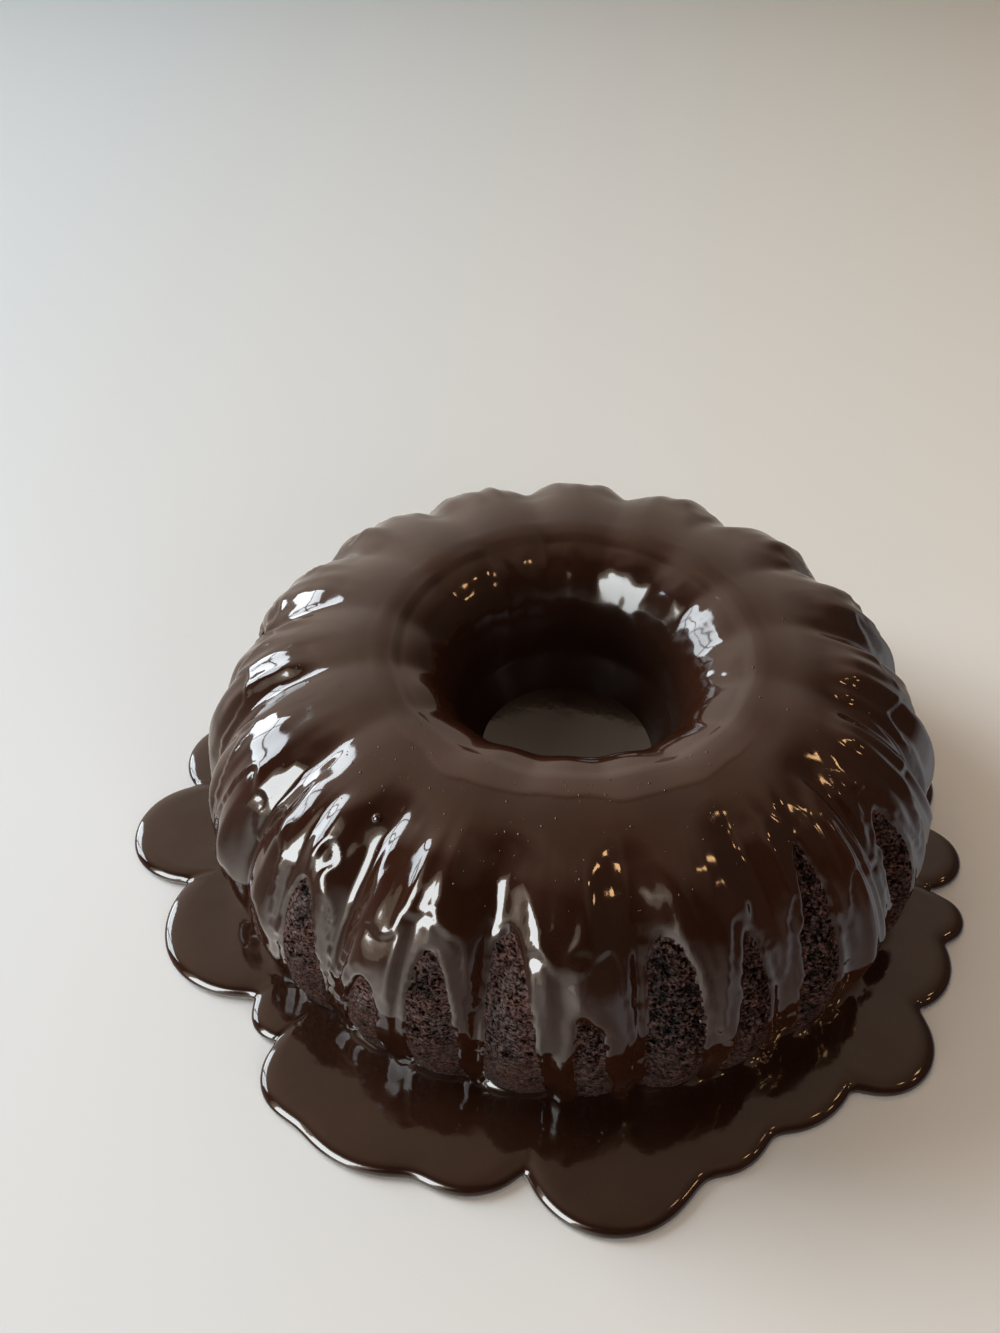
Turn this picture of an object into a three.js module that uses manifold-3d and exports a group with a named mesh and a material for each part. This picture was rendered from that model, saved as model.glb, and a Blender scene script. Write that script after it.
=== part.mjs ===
// Chocolate bundt cake: a fluted ring of sponge under a poured chocolate glaze.
// The glaze coats the crown and the hole, runs down the flutes between bare arches of crumb,
// and gathers in a scalloped pool round the foot and in a well at the bottom of the hole.
// Millimetres, +Z up. The origin is on the cake's axis, on the surface that it stands on.
// Angles are degrees about the axis from the front (-Y) towards the right (+X).

import * as THREE from 'three';
import { mergeVertices } from 'three/addons/utils/BufferGeometryUtils.js';
import Module from 'manifold-3d';

const wasm = await Module();
wasm.setup();

const { degToRad, lerp, smoothstep } = THREE.MathUtils;

// Half section of the bare sponge
const BASE_RADIUS = 106.6;
const WIDEST_RADIUS = 112.6;
const WIDEST_HEIGHT = 22;
const CROWN_RADIUS = 60;
const CROWN_HEIGHT = 69.4;
const SHOULDER_POWER = 2.08;
const HOLE_RADIUS = 35;
const HOLE_HEIGHT = 38;
const HOLE_FOOT_RADIUS = 18;

// Flutes: broad lobes on the crown, each split in two lower down the side
const CROWN_LOBES = 16;
const SIDE_LOBES = 2 * CROWN_LOBES;
const GROOVE_ANGLE = 11.8;
const CROWN_GROOVE_DEPTH = 6;
const CROWN_GROOVE_LOW_SHARE = 0.3;
const SIDE_GROOVE_DEPTH = 3.8;
const FOOT_GROOVE_SHARE = 0.55;
const HOLE_GROOVE_DEPTH = 1.6;

// Stations between which each kind of flute comes in or fades out
const CROWN_FLUTE_FADE = [1.5, 2.1];
const CROWN_FLUTE_RISE = [0.6, 1.4];
const SIDE_FLUTE_FADE = [1.2, 1.75];
const SIDE_FLUTE_RISE = [0, 0.6];
const HOLE_FLUTE_RISE = [2.1, 2.6];
const HOLE_FLUTE_FADE = [3, 3.5];

// Glaze
const GLAZE_THICKNESS = 1.5;
const GLAZE_GROOVE_SHARE = 0.8;
const CLEARANCE = 0.35;
const WELL_DEPTH = 24;
const POOL_THICKNESS = 3.4;
const POOL_LEAST_REACH = 119;
const POOL_BLEND = 1.8;

// Rounded rim of the pool, from the floor up: distance out from its reach, share of its thickness
const POOL_RIM = [[-0.9, 0], [0, 0.3], [-0.6, 0.7], [-2.8, 0.95]];

// Lobes of the pool seen from the front: angle, reach from the axis, radius
const POOL_LOBES = [
  [-95, 128.5, 17.7], [-79, 139.6, 19.8], [-59, 134.2, 25.8], [-41.7, 124.5, 9.3],
  [-32, 137.5, 14.6], [-22.7, 140.2, 32], [-10.4, 137.5, 20.3], [8, 144.7, 23.4],
  [12.8, 137.1, 18.5], [21.5, 133.9, 18.1], [34.3, 131.2, 26], [47.6, 139.3, 17.6],
  [61, 131, 18.7], [71, 129.9, 8.7], [82, 127.5, 12],
];
const POOL_BACK_START = 98;
const POOL_BACK_END = 252;
const POOL_BACK_LOBES = 10;
const POOL_BACK_REACH = [123, 136];
const POOL_BACK_RADIUS = [12, 19];

// Bare arches seen from the front: side lobe counted from the first groove, height, half width, and
// how far the top leans to the right
const FRONT_ARCHES = [
  [-7, 22, 4.5, 0], [-6, 30, 5, 0], [-5, 53, 8.2, -4.7], [-4, 39, 6.4, 1.4], [-3, 51, 8.2, -4.2],
  [-2, 59, 8.9, -4.5], [-1, 43, 5.4, -3.9], [0, 58, 8.8, -1.2], [1, 54.5, 6.8, 1.6], [2, 62.5, 7, 5],
  [3, 24, 4.5, 0], [4, 56.5, 6.8, -1],
];
const BACK_ARCH_FIRST = 5;
const BACK_ARCH_LAST = 24;
const BACK_ARCH_CHANCE = 0.7;
const BACK_ARCH_HEIGHT = [24, 58];
const BACK_ARCH_HALF_WIDTH = [4.5, 8];
const BACK_ARCH_LEAN = [-4, 4];
const ARCH_SPRING_SHARE = 0.6;
const ARCH_CUT_FROM = 78;
const ARCH_CUT_TO = 122;
const ARCH_CURVE_STEPS = 4;

// Facets
const COLUMNS = 4 * SIDE_LOBES;
const WELL_SIDES = 48;
const SPONGE_STATIONS = [0, 0.5, 1, 1.2, 1.4, 1.6, 1.8, 2, 2.3, 2.6, 3, 4];
const MERGE_TOLERANCE = 1e-4;
const RANDOM_SEED = 16;

// Repeatable draws between 0 and 1
function makeDraws(seed) {
  let state = seed;
  return () => {
    state = (state * 1664525 + 1013904223) % 4294967296;
    return state / 4294967296;
  };
}

const draw = makeDraws(RANDOM_SEED);

function drawBetween([low, high]) {
  return lerp(low, high, draw());
}

// Angle of a facet column, with a column in every groove
function columnAngle(column) {
  return GROOVE_ANGLE + (column * 360) / COLUMNS;
}

// Point at a radius, angle and height
function polar(radius, angle, height) {
  const turn = degToRad(angle);
  return [radius * Math.sin(turn), -radius * Math.cos(turn), height];
}

// The half section runs through stations: 0 foot, 1 widest, 2 crown, 3 wall of the hole, 4 foot of the hole.
// Returns its radius and height there, and the direction that points out of the sponge.
function section(station) {
  const quarter = (station % 1) * (Math.PI / 2);
  if (station < 1) {
    const radius = lerp(BASE_RADIUS, WIDEST_RADIUS, Math.sin(quarter));
    return { radius, height: WIDEST_HEIGHT * station, out: new THREE.Vector2(1, 0) };
  }
  if (station < 2) {
    const across = WIDEST_RADIUS - CROWN_RADIUS;
    const up = CROWN_HEIGHT - WIDEST_HEIGHT;
    const rightShare = Math.cos(quarter) ** (2 / SHOULDER_POWER);
    const upShare = Math.sin(quarter) ** (2 / SHOULDER_POWER);
    const steep = SHOULDER_POWER - 1;
    return {
      radius: CROWN_RADIUS + across * rightShare,
      height: WIDEST_HEIGHT + up * upShare,
      out: new THREE.Vector2(rightShare ** steep / across, upShare ** steep / up).normalize(),
    };
  }
  if (station < 3) {
    const across = CROWN_RADIUS - HOLE_RADIUS;
    const up = CROWN_HEIGHT - HOLE_HEIGHT;
    return {
      radius: CROWN_RADIUS - across * Math.sin(quarter),
      height: HOLE_HEIGHT + up * Math.cos(quarter),
      out: new THREE.Vector2(-Math.sin(quarter) / across, Math.cos(quarter) / up).normalize(),
    };
  }
  const down = station - 3;
  const radius = lerp(HOLE_RADIUS, HOLE_FOOT_RADIUS, down);
  return { radius, height: HOLE_HEIGHT * (1 - down), out: new THREE.Vector2(-1, 0) };
}

// Station on the hole's wall at a height
function holeStation(height) {
  return 4 - height / HOLE_HEIGHT;
}

// Round-topped lobes with a sharp groove between: 0 on a crest, 1 in a groove
function lobeDip(angle, lobes) {
  const turn = ((angle - GROOVE_ANGLE) / 360) * lobes;
  const fromCrest = 2 * Math.abs(turn - Math.floor(turn) - 0.5);
  return fromCrest * fromCrest;
}

// Depth of the flutes below the plain half section
function grooveDepth(angle, station) {
  const crownFade = 1 - smoothstep(station, ...CROWN_FLUTE_FADE);
  const crownLow = lerp(CROWN_GROOVE_LOW_SHARE, 1, smoothstep(station, ...CROWN_FLUTE_RISE));
  const sideFade = 1 - smoothstep(station, ...SIDE_FLUTE_FADE);
  const sideLow = lerp(FOOT_GROOVE_SHARE, 1, smoothstep(station, ...SIDE_FLUTE_RISE));
  const holeFade = smoothstep(station, ...HOLE_FLUTE_RISE) * (1 - smoothstep(station, ...HOLE_FLUTE_FADE));
  return lobeDip(angle, CROWN_LOBES) * CROWN_GROOVE_DEPTH * crownFade * crownLow
    + lobeDip(angle, SIDE_LOBES) * SIDE_GROOVE_DEPTH * sideFade * sideLow
    + lobeDip(angle, CROWN_LOBES) * HOLE_GROOVE_DEPTH * holeFade;
}

// Point of the fluted surface, raised by an offset, with the flutes at a share of their depth
function flutedPoint(angle, station, offset = 0, grooveShare = 1) {
  const { radius, height, out } = section(station);
  const raise = offset - grooveShare * grooveDepth(angle, station);
  return polar(radius + raise * out.x, angle, height + raise * out.y);
}

// Radius of the sponge's side near the floor, at a facet column
function footRadius(angle, height) {
  const station = height / WIDEST_HEIGHT;
  return section(station).radius - grooveDepth(angle, station);
}

// Closed ring: loops of points, one for each corner of a closed cross-section taken anticlockwise
// with the axis on the left, joined by two triangles for each facet. Loops from firstBack on run back
// beside the others, so their facets are split along the other diagonal, to stay parallel to them.
function ringGeometry(loops, firstBack = loops.length) {
  const columns = loops[0].length;
  const indices = [];
  loops.forEach((loop, row) => {
    const nextRow = (row + 1) % loops.length;
    for (let column = 0; column < columns; column += 1) {
      const nextColumn = (column + 1) % columns;
      const near = row * columns + column;
      const nearNext = row * columns + nextColumn;
      const far = nextRow * columns + column;
      const farNext = nextRow * columns + nextColumn;
      if (row < firstBack) {
        indices.push(near, nearNext, far, nearNext, farNext, far);
      } else {
        indices.push(near, nearNext, farNext, near, farNext, far);
      }
    }
  });
  const geometry = new THREE.BufferGeometry();
  geometry.setAttribute('position', new THREE.Float32BufferAttribute(loops.flat(2), 3));
  geometry.setIndex(indices);
  return geometry;
}

// One loop of points round the axis
function loopOf(pointAt) {
  return Array.from({ length: COLUMNS }, (_, column) => pointAt(columnAngle(column)));
}

// Solid that can be joined and cut, from a closed geometry
function toSolid(geometry) {
  const bare = geometry.clone();
  bare.deleteAttribute('normal');
  bare.deleteAttribute('uv');
  const merged = mergeVertices(bare, MERGE_TOLERANCE);
  return new wasm.Manifold(new wasm.Mesh({
    numProp: 3,
    vertProperties: new Float32Array(merged.attributes.position.array),
    triVerts: new Uint32Array(merged.index.array),
  }));
}

function toGeometry(solid) {
  const mesh = solid.getMesh();
  const geometry = new THREE.BufferGeometry();
  geometry.setAttribute('position', new THREE.Float32BufferAttribute(mesh.vertProperties, 3));
  geometry.setIndex(Array.from(mesh.triVerts));
  return geometry;
}

// Sponge: the fluted ring with a flat underside
function spongeGeometry() {
  return ringGeometry(SPONGE_STATIONS.map((station) => loopOf((angle) => flutedPoint(angle, station))));
}

// Round-headed arch standing on the floor, leaning to one side, reaching out through the side of the cake
function archCutter(angle, height, halfWidth, lean) {
  const spring = ARCH_SPRING_SHARE * height;
  const outline = new THREE.Shape();
  outline.moveTo(-halfWidth, 0);
  outline.lineTo(halfWidth, 0);
  outline.lineTo(halfWidth, spring);
  outline.absellipse(0, spring, halfWidth, height - spring, 0, Math.PI);
  const geometry = new THREE.ExtrudeGeometry(outline, {
    depth: ARCH_CUT_TO - ARCH_CUT_FROM,
    bevelEnabled: false,
    curveSegments: ARCH_CURVE_STEPS,
  });
  const corners = geometry.attributes.position;
  for (let corner = 0; corner < corners.count; corner += 1) {
    const up = corners.getY(corner) / height;
    corners.setX(corner, corners.getX(corner) + lean * up * up);
  }
  geometry.rotateX(Math.PI / 2);
  geometry.translate(0, -ARCH_CUT_FROM, 0);
  geometry.rotateZ(degToRad(angle));
  return geometry;
}

// Middle of a side lobe, counted from the first groove
function lobeMiddle(lobe) {
  return GROOVE_ANGLE + ((lobe + 0.5) * 360) / SIDE_LOBES;
}

// Arches all round: those seen from the front, and drawn ones behind
function bareArches() {
  const arches = [...FRONT_ARCHES];
  for (let lobe = BACK_ARCH_FIRST; lobe <= BACK_ARCH_LAST; lobe += 1) {
    const height = drawBetween(BACK_ARCH_HEIGHT);
    const halfWidth = drawBetween(BACK_ARCH_HALF_WIDTH);
    const lean = drawBetween(BACK_ARCH_LEAN);
    if (draw() < BACK_ARCH_CHANCE) {
      arches.push([lobe, height, halfWidth, lean]);
    }
  }
  return arches;
}

// Coat: glaze over the crown and down the hole, with runs between the bare arches
function coatGeometry() {
  const lowest = (POOL_THICKNESS + CLEARANCE) / WIDEST_HEIGHT;
  const deepest = holeStation(WELL_DEPTH + CLEARANCE);
  const between = SPONGE_STATIONS.filter((station) => station > lowest && station < deepest);
  const stations = [lowest, ...between, deepest];
  const outside = stations.map((station) => loopOf((angle) => (
    flutedPoint(angle, station, CLEARANCE + GLAZE_THICKNESS, GLAZE_GROOVE_SHARE)
  )));
  const inside = stations.map((station) => loopOf((angle) => flutedPoint(angle, station, CLEARANCE)));
  let coat = toSolid(ringGeometry([...outside, ...inside.reverse()], outside.length));
  for (const [lobe, height, halfWidth, lean] of bareArches()) {
    coat = coat.subtract(toSolid(archCutter(lobeMiddle(lobe), height, halfWidth, lean)));
  }
  return toGeometry(coat);
}

// Lobes of the pool all round, those behind drawn
function poolLobes() {
  const lobes = [...POOL_LOBES];
  for (let index = 0; index < POOL_BACK_LOBES; index += 1) {
    const angle = lerp(POOL_BACK_START, POOL_BACK_END, index / (POOL_BACK_LOBES - 1));
    lobes.push([angle, drawBetween(POOL_BACK_REACH), drawBetween(POOL_BACK_RADIUS)]);
  }
  return lobes;
}

// How far the pool reaches at an angle: its round lobes, blended softly where they meet
function poolReach(angle, lobes) {
  const total = lobes.reduce((sum, [lobeAngle, lobeReach, lobeRadius]) => {
    const turn = degToRad(angle - lobeAngle);
    const centre = lobeReach - lobeRadius;
    const half = lobeRadius ** 2 - (centre * Math.sin(turn)) ** 2;
    if (Math.cos(turn) < 0 || half < 0) {
      return sum;
    }
    const reach = centre * Math.cos(turn) + Math.sqrt(half);
    return sum + Math.exp((reach - POOL_LEAST_REACH) / POOL_BLEND);
  }, 1);
  return POOL_LEAST_REACH + POOL_BLEND * Math.log(total);
}

// Pool: a thick puddle round the foot with a rounded, scalloped rim
function poolGeometry() {
  const lobes = poolLobes();
  const rimLoops = POOL_RIM.map(([inset, share]) => loopOf((angle) => (
    polar(poolReach(angle, lobes) + inset, angle, share * POOL_THICKNESS)
  )));
  const footLoop = (height) => loopOf((angle) => polar(footRadius(angle, height) + CLEARANCE, angle, height));
  return ringGeometry([footLoop(0), ...rimLoops, footLoop(POOL_THICKNESS)]);
}

// Well: glaze that has filled the bottom of the hole
function wellGeometry() {
  const foot = HOLE_FOOT_RADIUS - CLEARANCE;
  const top = section(holeStation(WELL_DEPTH)).radius - CLEARANCE;
  const profile = [
    new THREE.Vector2(0, 0),
    new THREE.Vector2(foot, 0),
    new THREE.Vector2(top, WELL_DEPTH),
    new THREE.Vector2(0, WELL_DEPTH),
  ];
  const geometry = new THREE.LatheGeometry(profile, WELL_SIDES);
  geometry.rotateX(Math.PI / 2);
  return geometry;
}

const spongeMaterial = new THREE.MeshStandardMaterial({ color: 0x2c1912, roughness: 0.9, metalness: 0 });
const glazeMaterial = new THREE.MeshStandardMaterial({ color: 0x2b120b, roughness: 0.12, metalness: 0 });

function addPiece(group, name, geometry, material) {
  const mesh = new THREE.Mesh(geometry, material.clone());
  mesh.name = name;
  group.add(mesh);
}

const cake = new THREE.Group();
cake.name = 'chocolate_bundt_cake';
addPiece(cake, 'sponge', spongeGeometry(), spongeMaterial);
addPiece(cake, 'glaze_coat', coatGeometry(), glazeMaterial);
addPiece(cake, 'glaze_pool', poolGeometry(), glazeMaterial);
addPiece(cake, 'glaze_well', wellGeometry(), glazeMaterial);

export default cake;
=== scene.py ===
"""Chocolate bundt cake: a fluted ring of dark crumb under a poured, glossy chocolate glaze.

The shape functions work in millimetres. Angles are degrees about the cake's axis, from the front (-Y)
towards the right (+X). A station is a place along the half section: 0 foot, 1 widest, 2 crown, 3 wall
of the hole, 4 foot of the hole.

A waver is a list of layers of noise: how far each moves a point, the size of its waves and its seed.
A reach is an angle, then how far to either side a share is whole and how far until it is gone.
A band is where a share starts, is whole, starts to fall and is gone.
"""

import itertools
import math

import bpy
import numpy as np
from bpy.props import FloatProperty, FloatVectorProperty, IntProperty, PointerProperty
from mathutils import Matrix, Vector


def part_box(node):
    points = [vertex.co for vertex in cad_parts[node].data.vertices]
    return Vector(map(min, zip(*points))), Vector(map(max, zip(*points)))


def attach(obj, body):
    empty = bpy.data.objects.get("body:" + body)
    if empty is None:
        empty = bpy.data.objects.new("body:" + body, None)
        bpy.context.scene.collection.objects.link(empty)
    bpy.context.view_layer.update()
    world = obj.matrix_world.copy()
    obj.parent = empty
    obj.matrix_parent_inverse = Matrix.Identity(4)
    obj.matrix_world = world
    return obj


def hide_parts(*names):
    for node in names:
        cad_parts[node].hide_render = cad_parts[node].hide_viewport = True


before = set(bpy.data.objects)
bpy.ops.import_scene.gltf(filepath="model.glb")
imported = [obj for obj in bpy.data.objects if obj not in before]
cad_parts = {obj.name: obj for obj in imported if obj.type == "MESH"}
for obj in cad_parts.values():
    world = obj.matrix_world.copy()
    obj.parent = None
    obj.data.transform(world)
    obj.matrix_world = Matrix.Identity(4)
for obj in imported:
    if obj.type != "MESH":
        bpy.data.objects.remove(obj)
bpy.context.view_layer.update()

bl_info = {
    "name": "Chocolate Bundt Cake",
    "version": (1, 0, 0),
    "blender": (4, 5, 0),
    "location": "View3D > Sidebar > Bundt Cake",
    "description": "Dresses a fluted ring cake in dark crumb and poured chocolate glaze",
    "category": "Add Mesh",
}

BODY = "root"
MM = 0.001

SPONGE_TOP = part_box("sponge")[1].z
POOL_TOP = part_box("glaze_pool")[1].z
WELL_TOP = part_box("glaze_well")[1].z

# Flutes: broad lobes on the crown, each split in two lower down the side
CROWN_LOBES = 16
SIDE_LOBES = 2 * CROWN_LOBES
GROOVE_ANGLE = 11.8
SHOULDER_POWER = 2.08
CROWN_GROOVE_LOW_SHARE = 0.3
CROWN_GROOVE_RISE = (0.6, 1.4)
CROWN_GROOVE_TOP = (1.5, 2.1)
FOOT_GROOVE_SHARE = 0.55
SIDE_GROOVE_RISE = (0, 0.6)
SIDE_GROOVE_TOP = (1.2, 1.75)
HOLE_GROOVE_BAND = (2.1, 2.6, 3, 3.5)

# Bare arches seen from the front: side lobe from the first groove on, height, half width, lean of the top
FRONT_ARCHES = [
    (-7, 22, 4.5, 0), (-6, 30, 5, 0), (-5, 53, 8.2, -4.7), (-4, 39, 6.4, 1.4), (-3, 51, 8.2, -4.2),
    (-2, 59, 8.9, -4.5), (-1, 43, 5.4, -3.9), (0, 58, 8.8, -1.2), (1, 54.5, 6.8, 1.6), (2, 62.5, 7, 5),
    (3, 24, 4.5, 0), (4, 56.5, 6.8, -1),
]
BACK_ARCH_LOBES = range(5, 25)
BACK_ARCH_CHANCE = 0.7
BACK_ARCH_HEIGHT = (24, 58)
BACK_ARCH_HALF_WIDTH = (4.5, 8)
BACK_ARCH_LEAN = (-4, 4)
ARCH_SPRING_SHARE = 0.6
ARCH_CREEP = (0.98, 0.77)
ARCH_LEAST_SHARE = 0.05
ARCH_LEAST_STEEP = 0.005
ARCH_SIDE_WAVER = [(0.9, 12, 31), (0.5, 3.4, 32), (0.2, 1.5, 34)]
ARCH_TOP_WAVER = [(1.5, 16, 33)]

# Lobes of the pool seen from the front: angle, reach from the axis, radius
FRONT_POOL_LOBES = [
    (-95, 128.5, 17.7), (-79, 139.6, 19.8), (-59, 134.2, 25.8), (-41.7, 124.5, 9.3), (-32, 137.5, 14.6),
    (-22.7, 140.2, 32), (-10.4, 137.5, 20.3), (8, 144.7, 23.4), (12.8, 137.1, 18.5), (21.5, 133.9, 18.1),
    (34.3, 131.2, 26), (47.6, 139.3, 17.6), (61, 131, 18.7), (71, 129.9, 8.7), (82, 127.5, 12),
]
BACK_POOL_LOBES = 10
BACK_POOL_ANGLES = (98, 252)
BACK_POOL_REACH = (123, 136)
BACK_POOL_RADIUS = (12, 19)
POOL_LEAST_REACH = 119
POOL_BLEND = 1.8
FRAME_SEED = 16
FULL_COVER = 99.0

# Factors that scramble the corners of the noise lattice, and those of the draws that set out the solids
HASH_CORNER = (73856093, 19349663, 83492791)
HASH_SEED = 40503
HASH_ROUNDS = [(15, 2246822519), (13, 3266489917)]
HASH_MASK = 0xFFFFFFFF
DRAW_FACTOR = 1664525
DRAW_STEP = 1013904223
DRAW_RANGE = 4294967296


def lerp(low, high, share):
    """Value at a share of the way from low to high."""
    return low + (high - low) * share


def smoothstep(value, low, high):
    """Smooth rise from 0 at low to 1 at high."""
    share = np.clip((value - low) / (high - low), 0, 1)
    return share * share * (3 - 2 * share)


def within(value, start, whole, falling, gone):
    """Share of being inside a band."""
    return smoothstep(value, start, whole) * (1 - smoothstep(value, falling, gone))


def round_edge(inside, width):
    """Rounded lip: 0 at an edge, 1 at a width inside it."""
    share = np.clip(inside / width, 0, 1)
    return np.sqrt(1 - (1 - share) ** 2)


def lattice_noise(points, size, seed):
    """Smooth repeatable noise from -1 to 1 at points, with features of a size in millimetres."""
    cells = np.asarray(points) / size
    base = np.floor(cells).astype(np.int64)
    fade = cells - base
    fade = fade ** 3 * (fade * (6 * fade - 15) + 10)
    total = np.zeros(cells.shape[:-1])
    for corner in itertools.product((0, 1), repeat=3):
        key = (base + corner) * HASH_CORNER
        mixed = key[..., 0] ^ key[..., 1] ^ key[..., 2] ^ (seed * HASH_SEED)
        for shift, factor in HASH_ROUNDS:
            mixed = ((mixed ^ (mixed >> shift)) * factor) & HASH_MASK
        weight = np.prod(np.where(corner, fade, 1 - fade), axis=-1)
        total += weight * ((mixed >> 8 & 0xFFFF) / 32767.5 - 1)
    return total


def waver(points, layers):
    """Sum of layers of noise at points."""
    return sum(far * lattice_noise(points, size, seed) for far, size, seed in layers)


def frame_draws(seed):
    """Endless draws between 0 and 1, the same ones that set out the solids."""
    state = seed
    while True:
        state = (state * DRAW_FACTOR + DRAW_STEP) % DRAW_RANGE
        yield state / DRAW_RANGE


def set_out():
    """Bare arches and pool lobes all round the cake: those seen from the front, and drawn ones behind."""
    draws = frame_draws(FRAME_SEED)
    arches = list(FRONT_ARCHES)
    for lobe in BACK_ARCH_LOBES:
        height = lerp(*BACK_ARCH_HEIGHT, next(draws))
        half_width = lerp(*BACK_ARCH_HALF_WIDTH, next(draws))
        lean = lerp(*BACK_ARCH_LEAN, next(draws))
        if next(draws) < BACK_ARCH_CHANCE:
            arches.append((lobe, height, half_width, lean))
    lobes = list(FRONT_POOL_LOBES)
    for angle in np.linspace(*BACK_POOL_ANGLES, BACK_POOL_LOBES):
        reach = lerp(*BACK_POOL_REACH, next(draws))
        lobes.append((angle, reach, lerp(*BACK_POOL_RADIUS, next(draws))))
    return arches, lobes


ARCHES, POOL_LOBES = set_out()


def polar(radius, angle, height):
    """Points at radii, angles and heights."""
    turn = np.radians(angle)
    radius, turn, height = np.broadcast_arrays(radius, turn, height)
    return np.stack([radius * np.sin(turn), -radius * np.cos(turn), height], axis=-1)


def lobe_middle(lobe):
    """Angle of the middle of a side lobe."""
    return GROOVE_ANGLE + (lobe + 0.5) * 360 / SIDE_LOBES


def lobe_dip(angle, lobes, rounding):
    """Round-topped lobes: 0 on a crest, 1 in a sharp groove, less where the groove's bottom is rounded."""
    turn = (angle - GROOVE_ANGLE) / 360 * lobes
    from_groove = 1 - 2 * np.abs(turn - np.floor(turn) - 0.5)
    return (math.hypot(1, rounding) - np.hypot(from_groove, rounding)) ** 2


def turn_between(angle, other):
    """Signed angle from other to angle, within half a turn."""
    return (angle - other + 180) % 360 - 180


def near_angle(angle, middle, whole, gone):
    """Share of being inside a reach."""
    return 1 - smoothstep(np.abs(turn_between(angle, middle)), whole, gone)


class FlutedRing:
    """The sponge's form: a half section swept round the axis, with flutes sunk in it."""

    stretch_samples = 2000
    section_samples = 4000

    def __init__(self, shape):
        """Takes over every size of the shape, in millimetres."""
        for name in shape.__annotations__:
            setattr(self, name, getattr(shape, name) / MM)

    def section(self, stations):
        """Radius, height, and outward direction across and up, at the stations."""
        stations = np.asarray(stations, dtype=float)
        quarter = (stations % 1) * (np.pi / 2)
        sine, cosine = np.sin(quarter), np.cos(quarter)
        parts = [stations < 1, stations < 2, stations < 3]
        across = self.widest_radius - self.crown_radius
        up = self.crown_height - self.widest_height
        rim_across = self.crown_radius - self.hole_radius
        rim_up = self.crown_height - self.hole_height
        right_share = cosine ** (2 / SHOULDER_POWER)
        up_share = sine ** (2 / SHOULDER_POWER)
        radius = np.select(parts, [
            lerp(self.base_radius, self.widest_radius, sine),
            self.crown_radius + across * right_share,
            self.crown_radius - rim_across * sine,
        ], lerp(self.hole_radius, self.hole_foot_radius, stations - 3))
        height = np.select(parts, [
            self.widest_height * stations,
            self.widest_height + up * up_share,
            self.hole_height + rim_up * cosine,
        ], self.hole_height * (4 - stations))
        steep = SHOULDER_POWER - 1
        out_across = np.select(parts, [
            1.0, right_share ** steep / across, -sine / rim_across], -1.0)
        out_up = np.select(parts, [
            0.0, up_share ** steep / up, cosine / rim_up], 0.0)
        length = np.hypot(out_across, out_up)
        return radius, height, out_across / length, out_up / length

    def groove_depth(self, angle, station, rounding=0.0):
        """Depth of the flutes below the plain half section, with their sharp bottoms rounded off."""
        broad = lobe_dip(angle, CROWN_LOBES, rounding)
        narrow = lobe_dip(angle, SIDE_LOBES, rounding)
        crown_fade = 1 - smoothstep(station, *CROWN_GROOVE_TOP)
        crown_low = lerp(CROWN_GROOVE_LOW_SHARE, 1, smoothstep(station, *CROWN_GROOVE_RISE))
        side_fade = 1 - smoothstep(station, *SIDE_GROOVE_TOP)
        side_low = lerp(FOOT_GROOVE_SHARE, 1, smoothstep(station, *SIDE_GROOVE_RISE))
        return (
            broad * self.crown_groove * crown_fade * crown_low
            + narrow * self.side_groove * side_fade * side_low
            + broad * self.hole_groove * within(station, *HOLE_GROOVE_BAND)
        )

    def points(self, angle, station, raised=0.0):
        """Points of the fluted surface, raised along the half section's outward direction."""
        radius, height, out_across, out_up = self.section(station)
        raised = raised - self.groove_depth(angle, station)
        return polar(radius + raised * out_across, angle, height + raised * out_up)

    def foot_radius(self, angle, height):
        """Radius of the sponge's side at a height below its widest."""
        station = height / self.widest_height
        return self.section(station)[0] - self.groove_depth(angle, station)

    def run_along(self, stations):
        """Length along the half section from the first of close stations to each of them."""
        radius, height, _, _ = self.section(stations)
        return np.concatenate([[0], np.cumsum(np.hypot(np.diff(radius), np.diff(height)))])

    def even_stations(self, first, last, spacing):
        """Stations from first to last at about an even spacing along the half section."""
        fine = np.linspace(first, last, self.stretch_samples)
        run = self.run_along(fine)
        count = max(2, int(round(run[-1] / spacing)) + 1)
        return np.interp(np.linspace(0, run[-1], count), run, fine)

    def run_length(self, stations):
        """Length along the half section from the foot to each station."""
        fine = np.linspace(0, 4, self.section_samples)
        return np.interp(stations, fine, self.run_along(fine))

    def glaze_cover(self, angle, station):
        """Distance inside the glazed area: above 0 under glaze, below 0 in a bare arch."""
        radius, height, _, _ = self.section(station)
        radius, height = np.broadcast_arrays(radius, height + 0 * angle)
        places = polar(radius, angle, height)
        aside = waver(places, ARCH_SIDE_WAVER)
        lift = waver(places, ARCH_TOP_WAVER)
        cover = np.full(np.shape(places)[:-1], FULL_COVER)
        for lobe, arch_height, half_width, lean in ARCHES:
            spring = ARCH_SPRING_SHARE * arch_height
            head = arch_height - spring
            leaning = lean * (height / arch_height) ** 2
            along = np.radians(turn_between(angle, lobe_middle(lobe))) * radius + aside - leaning
            rise = np.clip(height + lift - spring, 0, None) / head
            half = half_width * lerp(*ARCH_CREEP, np.clip(height / arch_height, 0, 1))
            share = np.maximum(np.hypot(along / half, rise), ARCH_LEAST_SHARE)
            steep = np.maximum(np.hypot(along / half ** 2, rise / head), ARCH_LEAST_STEEP)
            cover = np.minimum(cover, (share - 1) * share / steep)
        return np.where(station < 2, cover, FULL_COVER)


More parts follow.
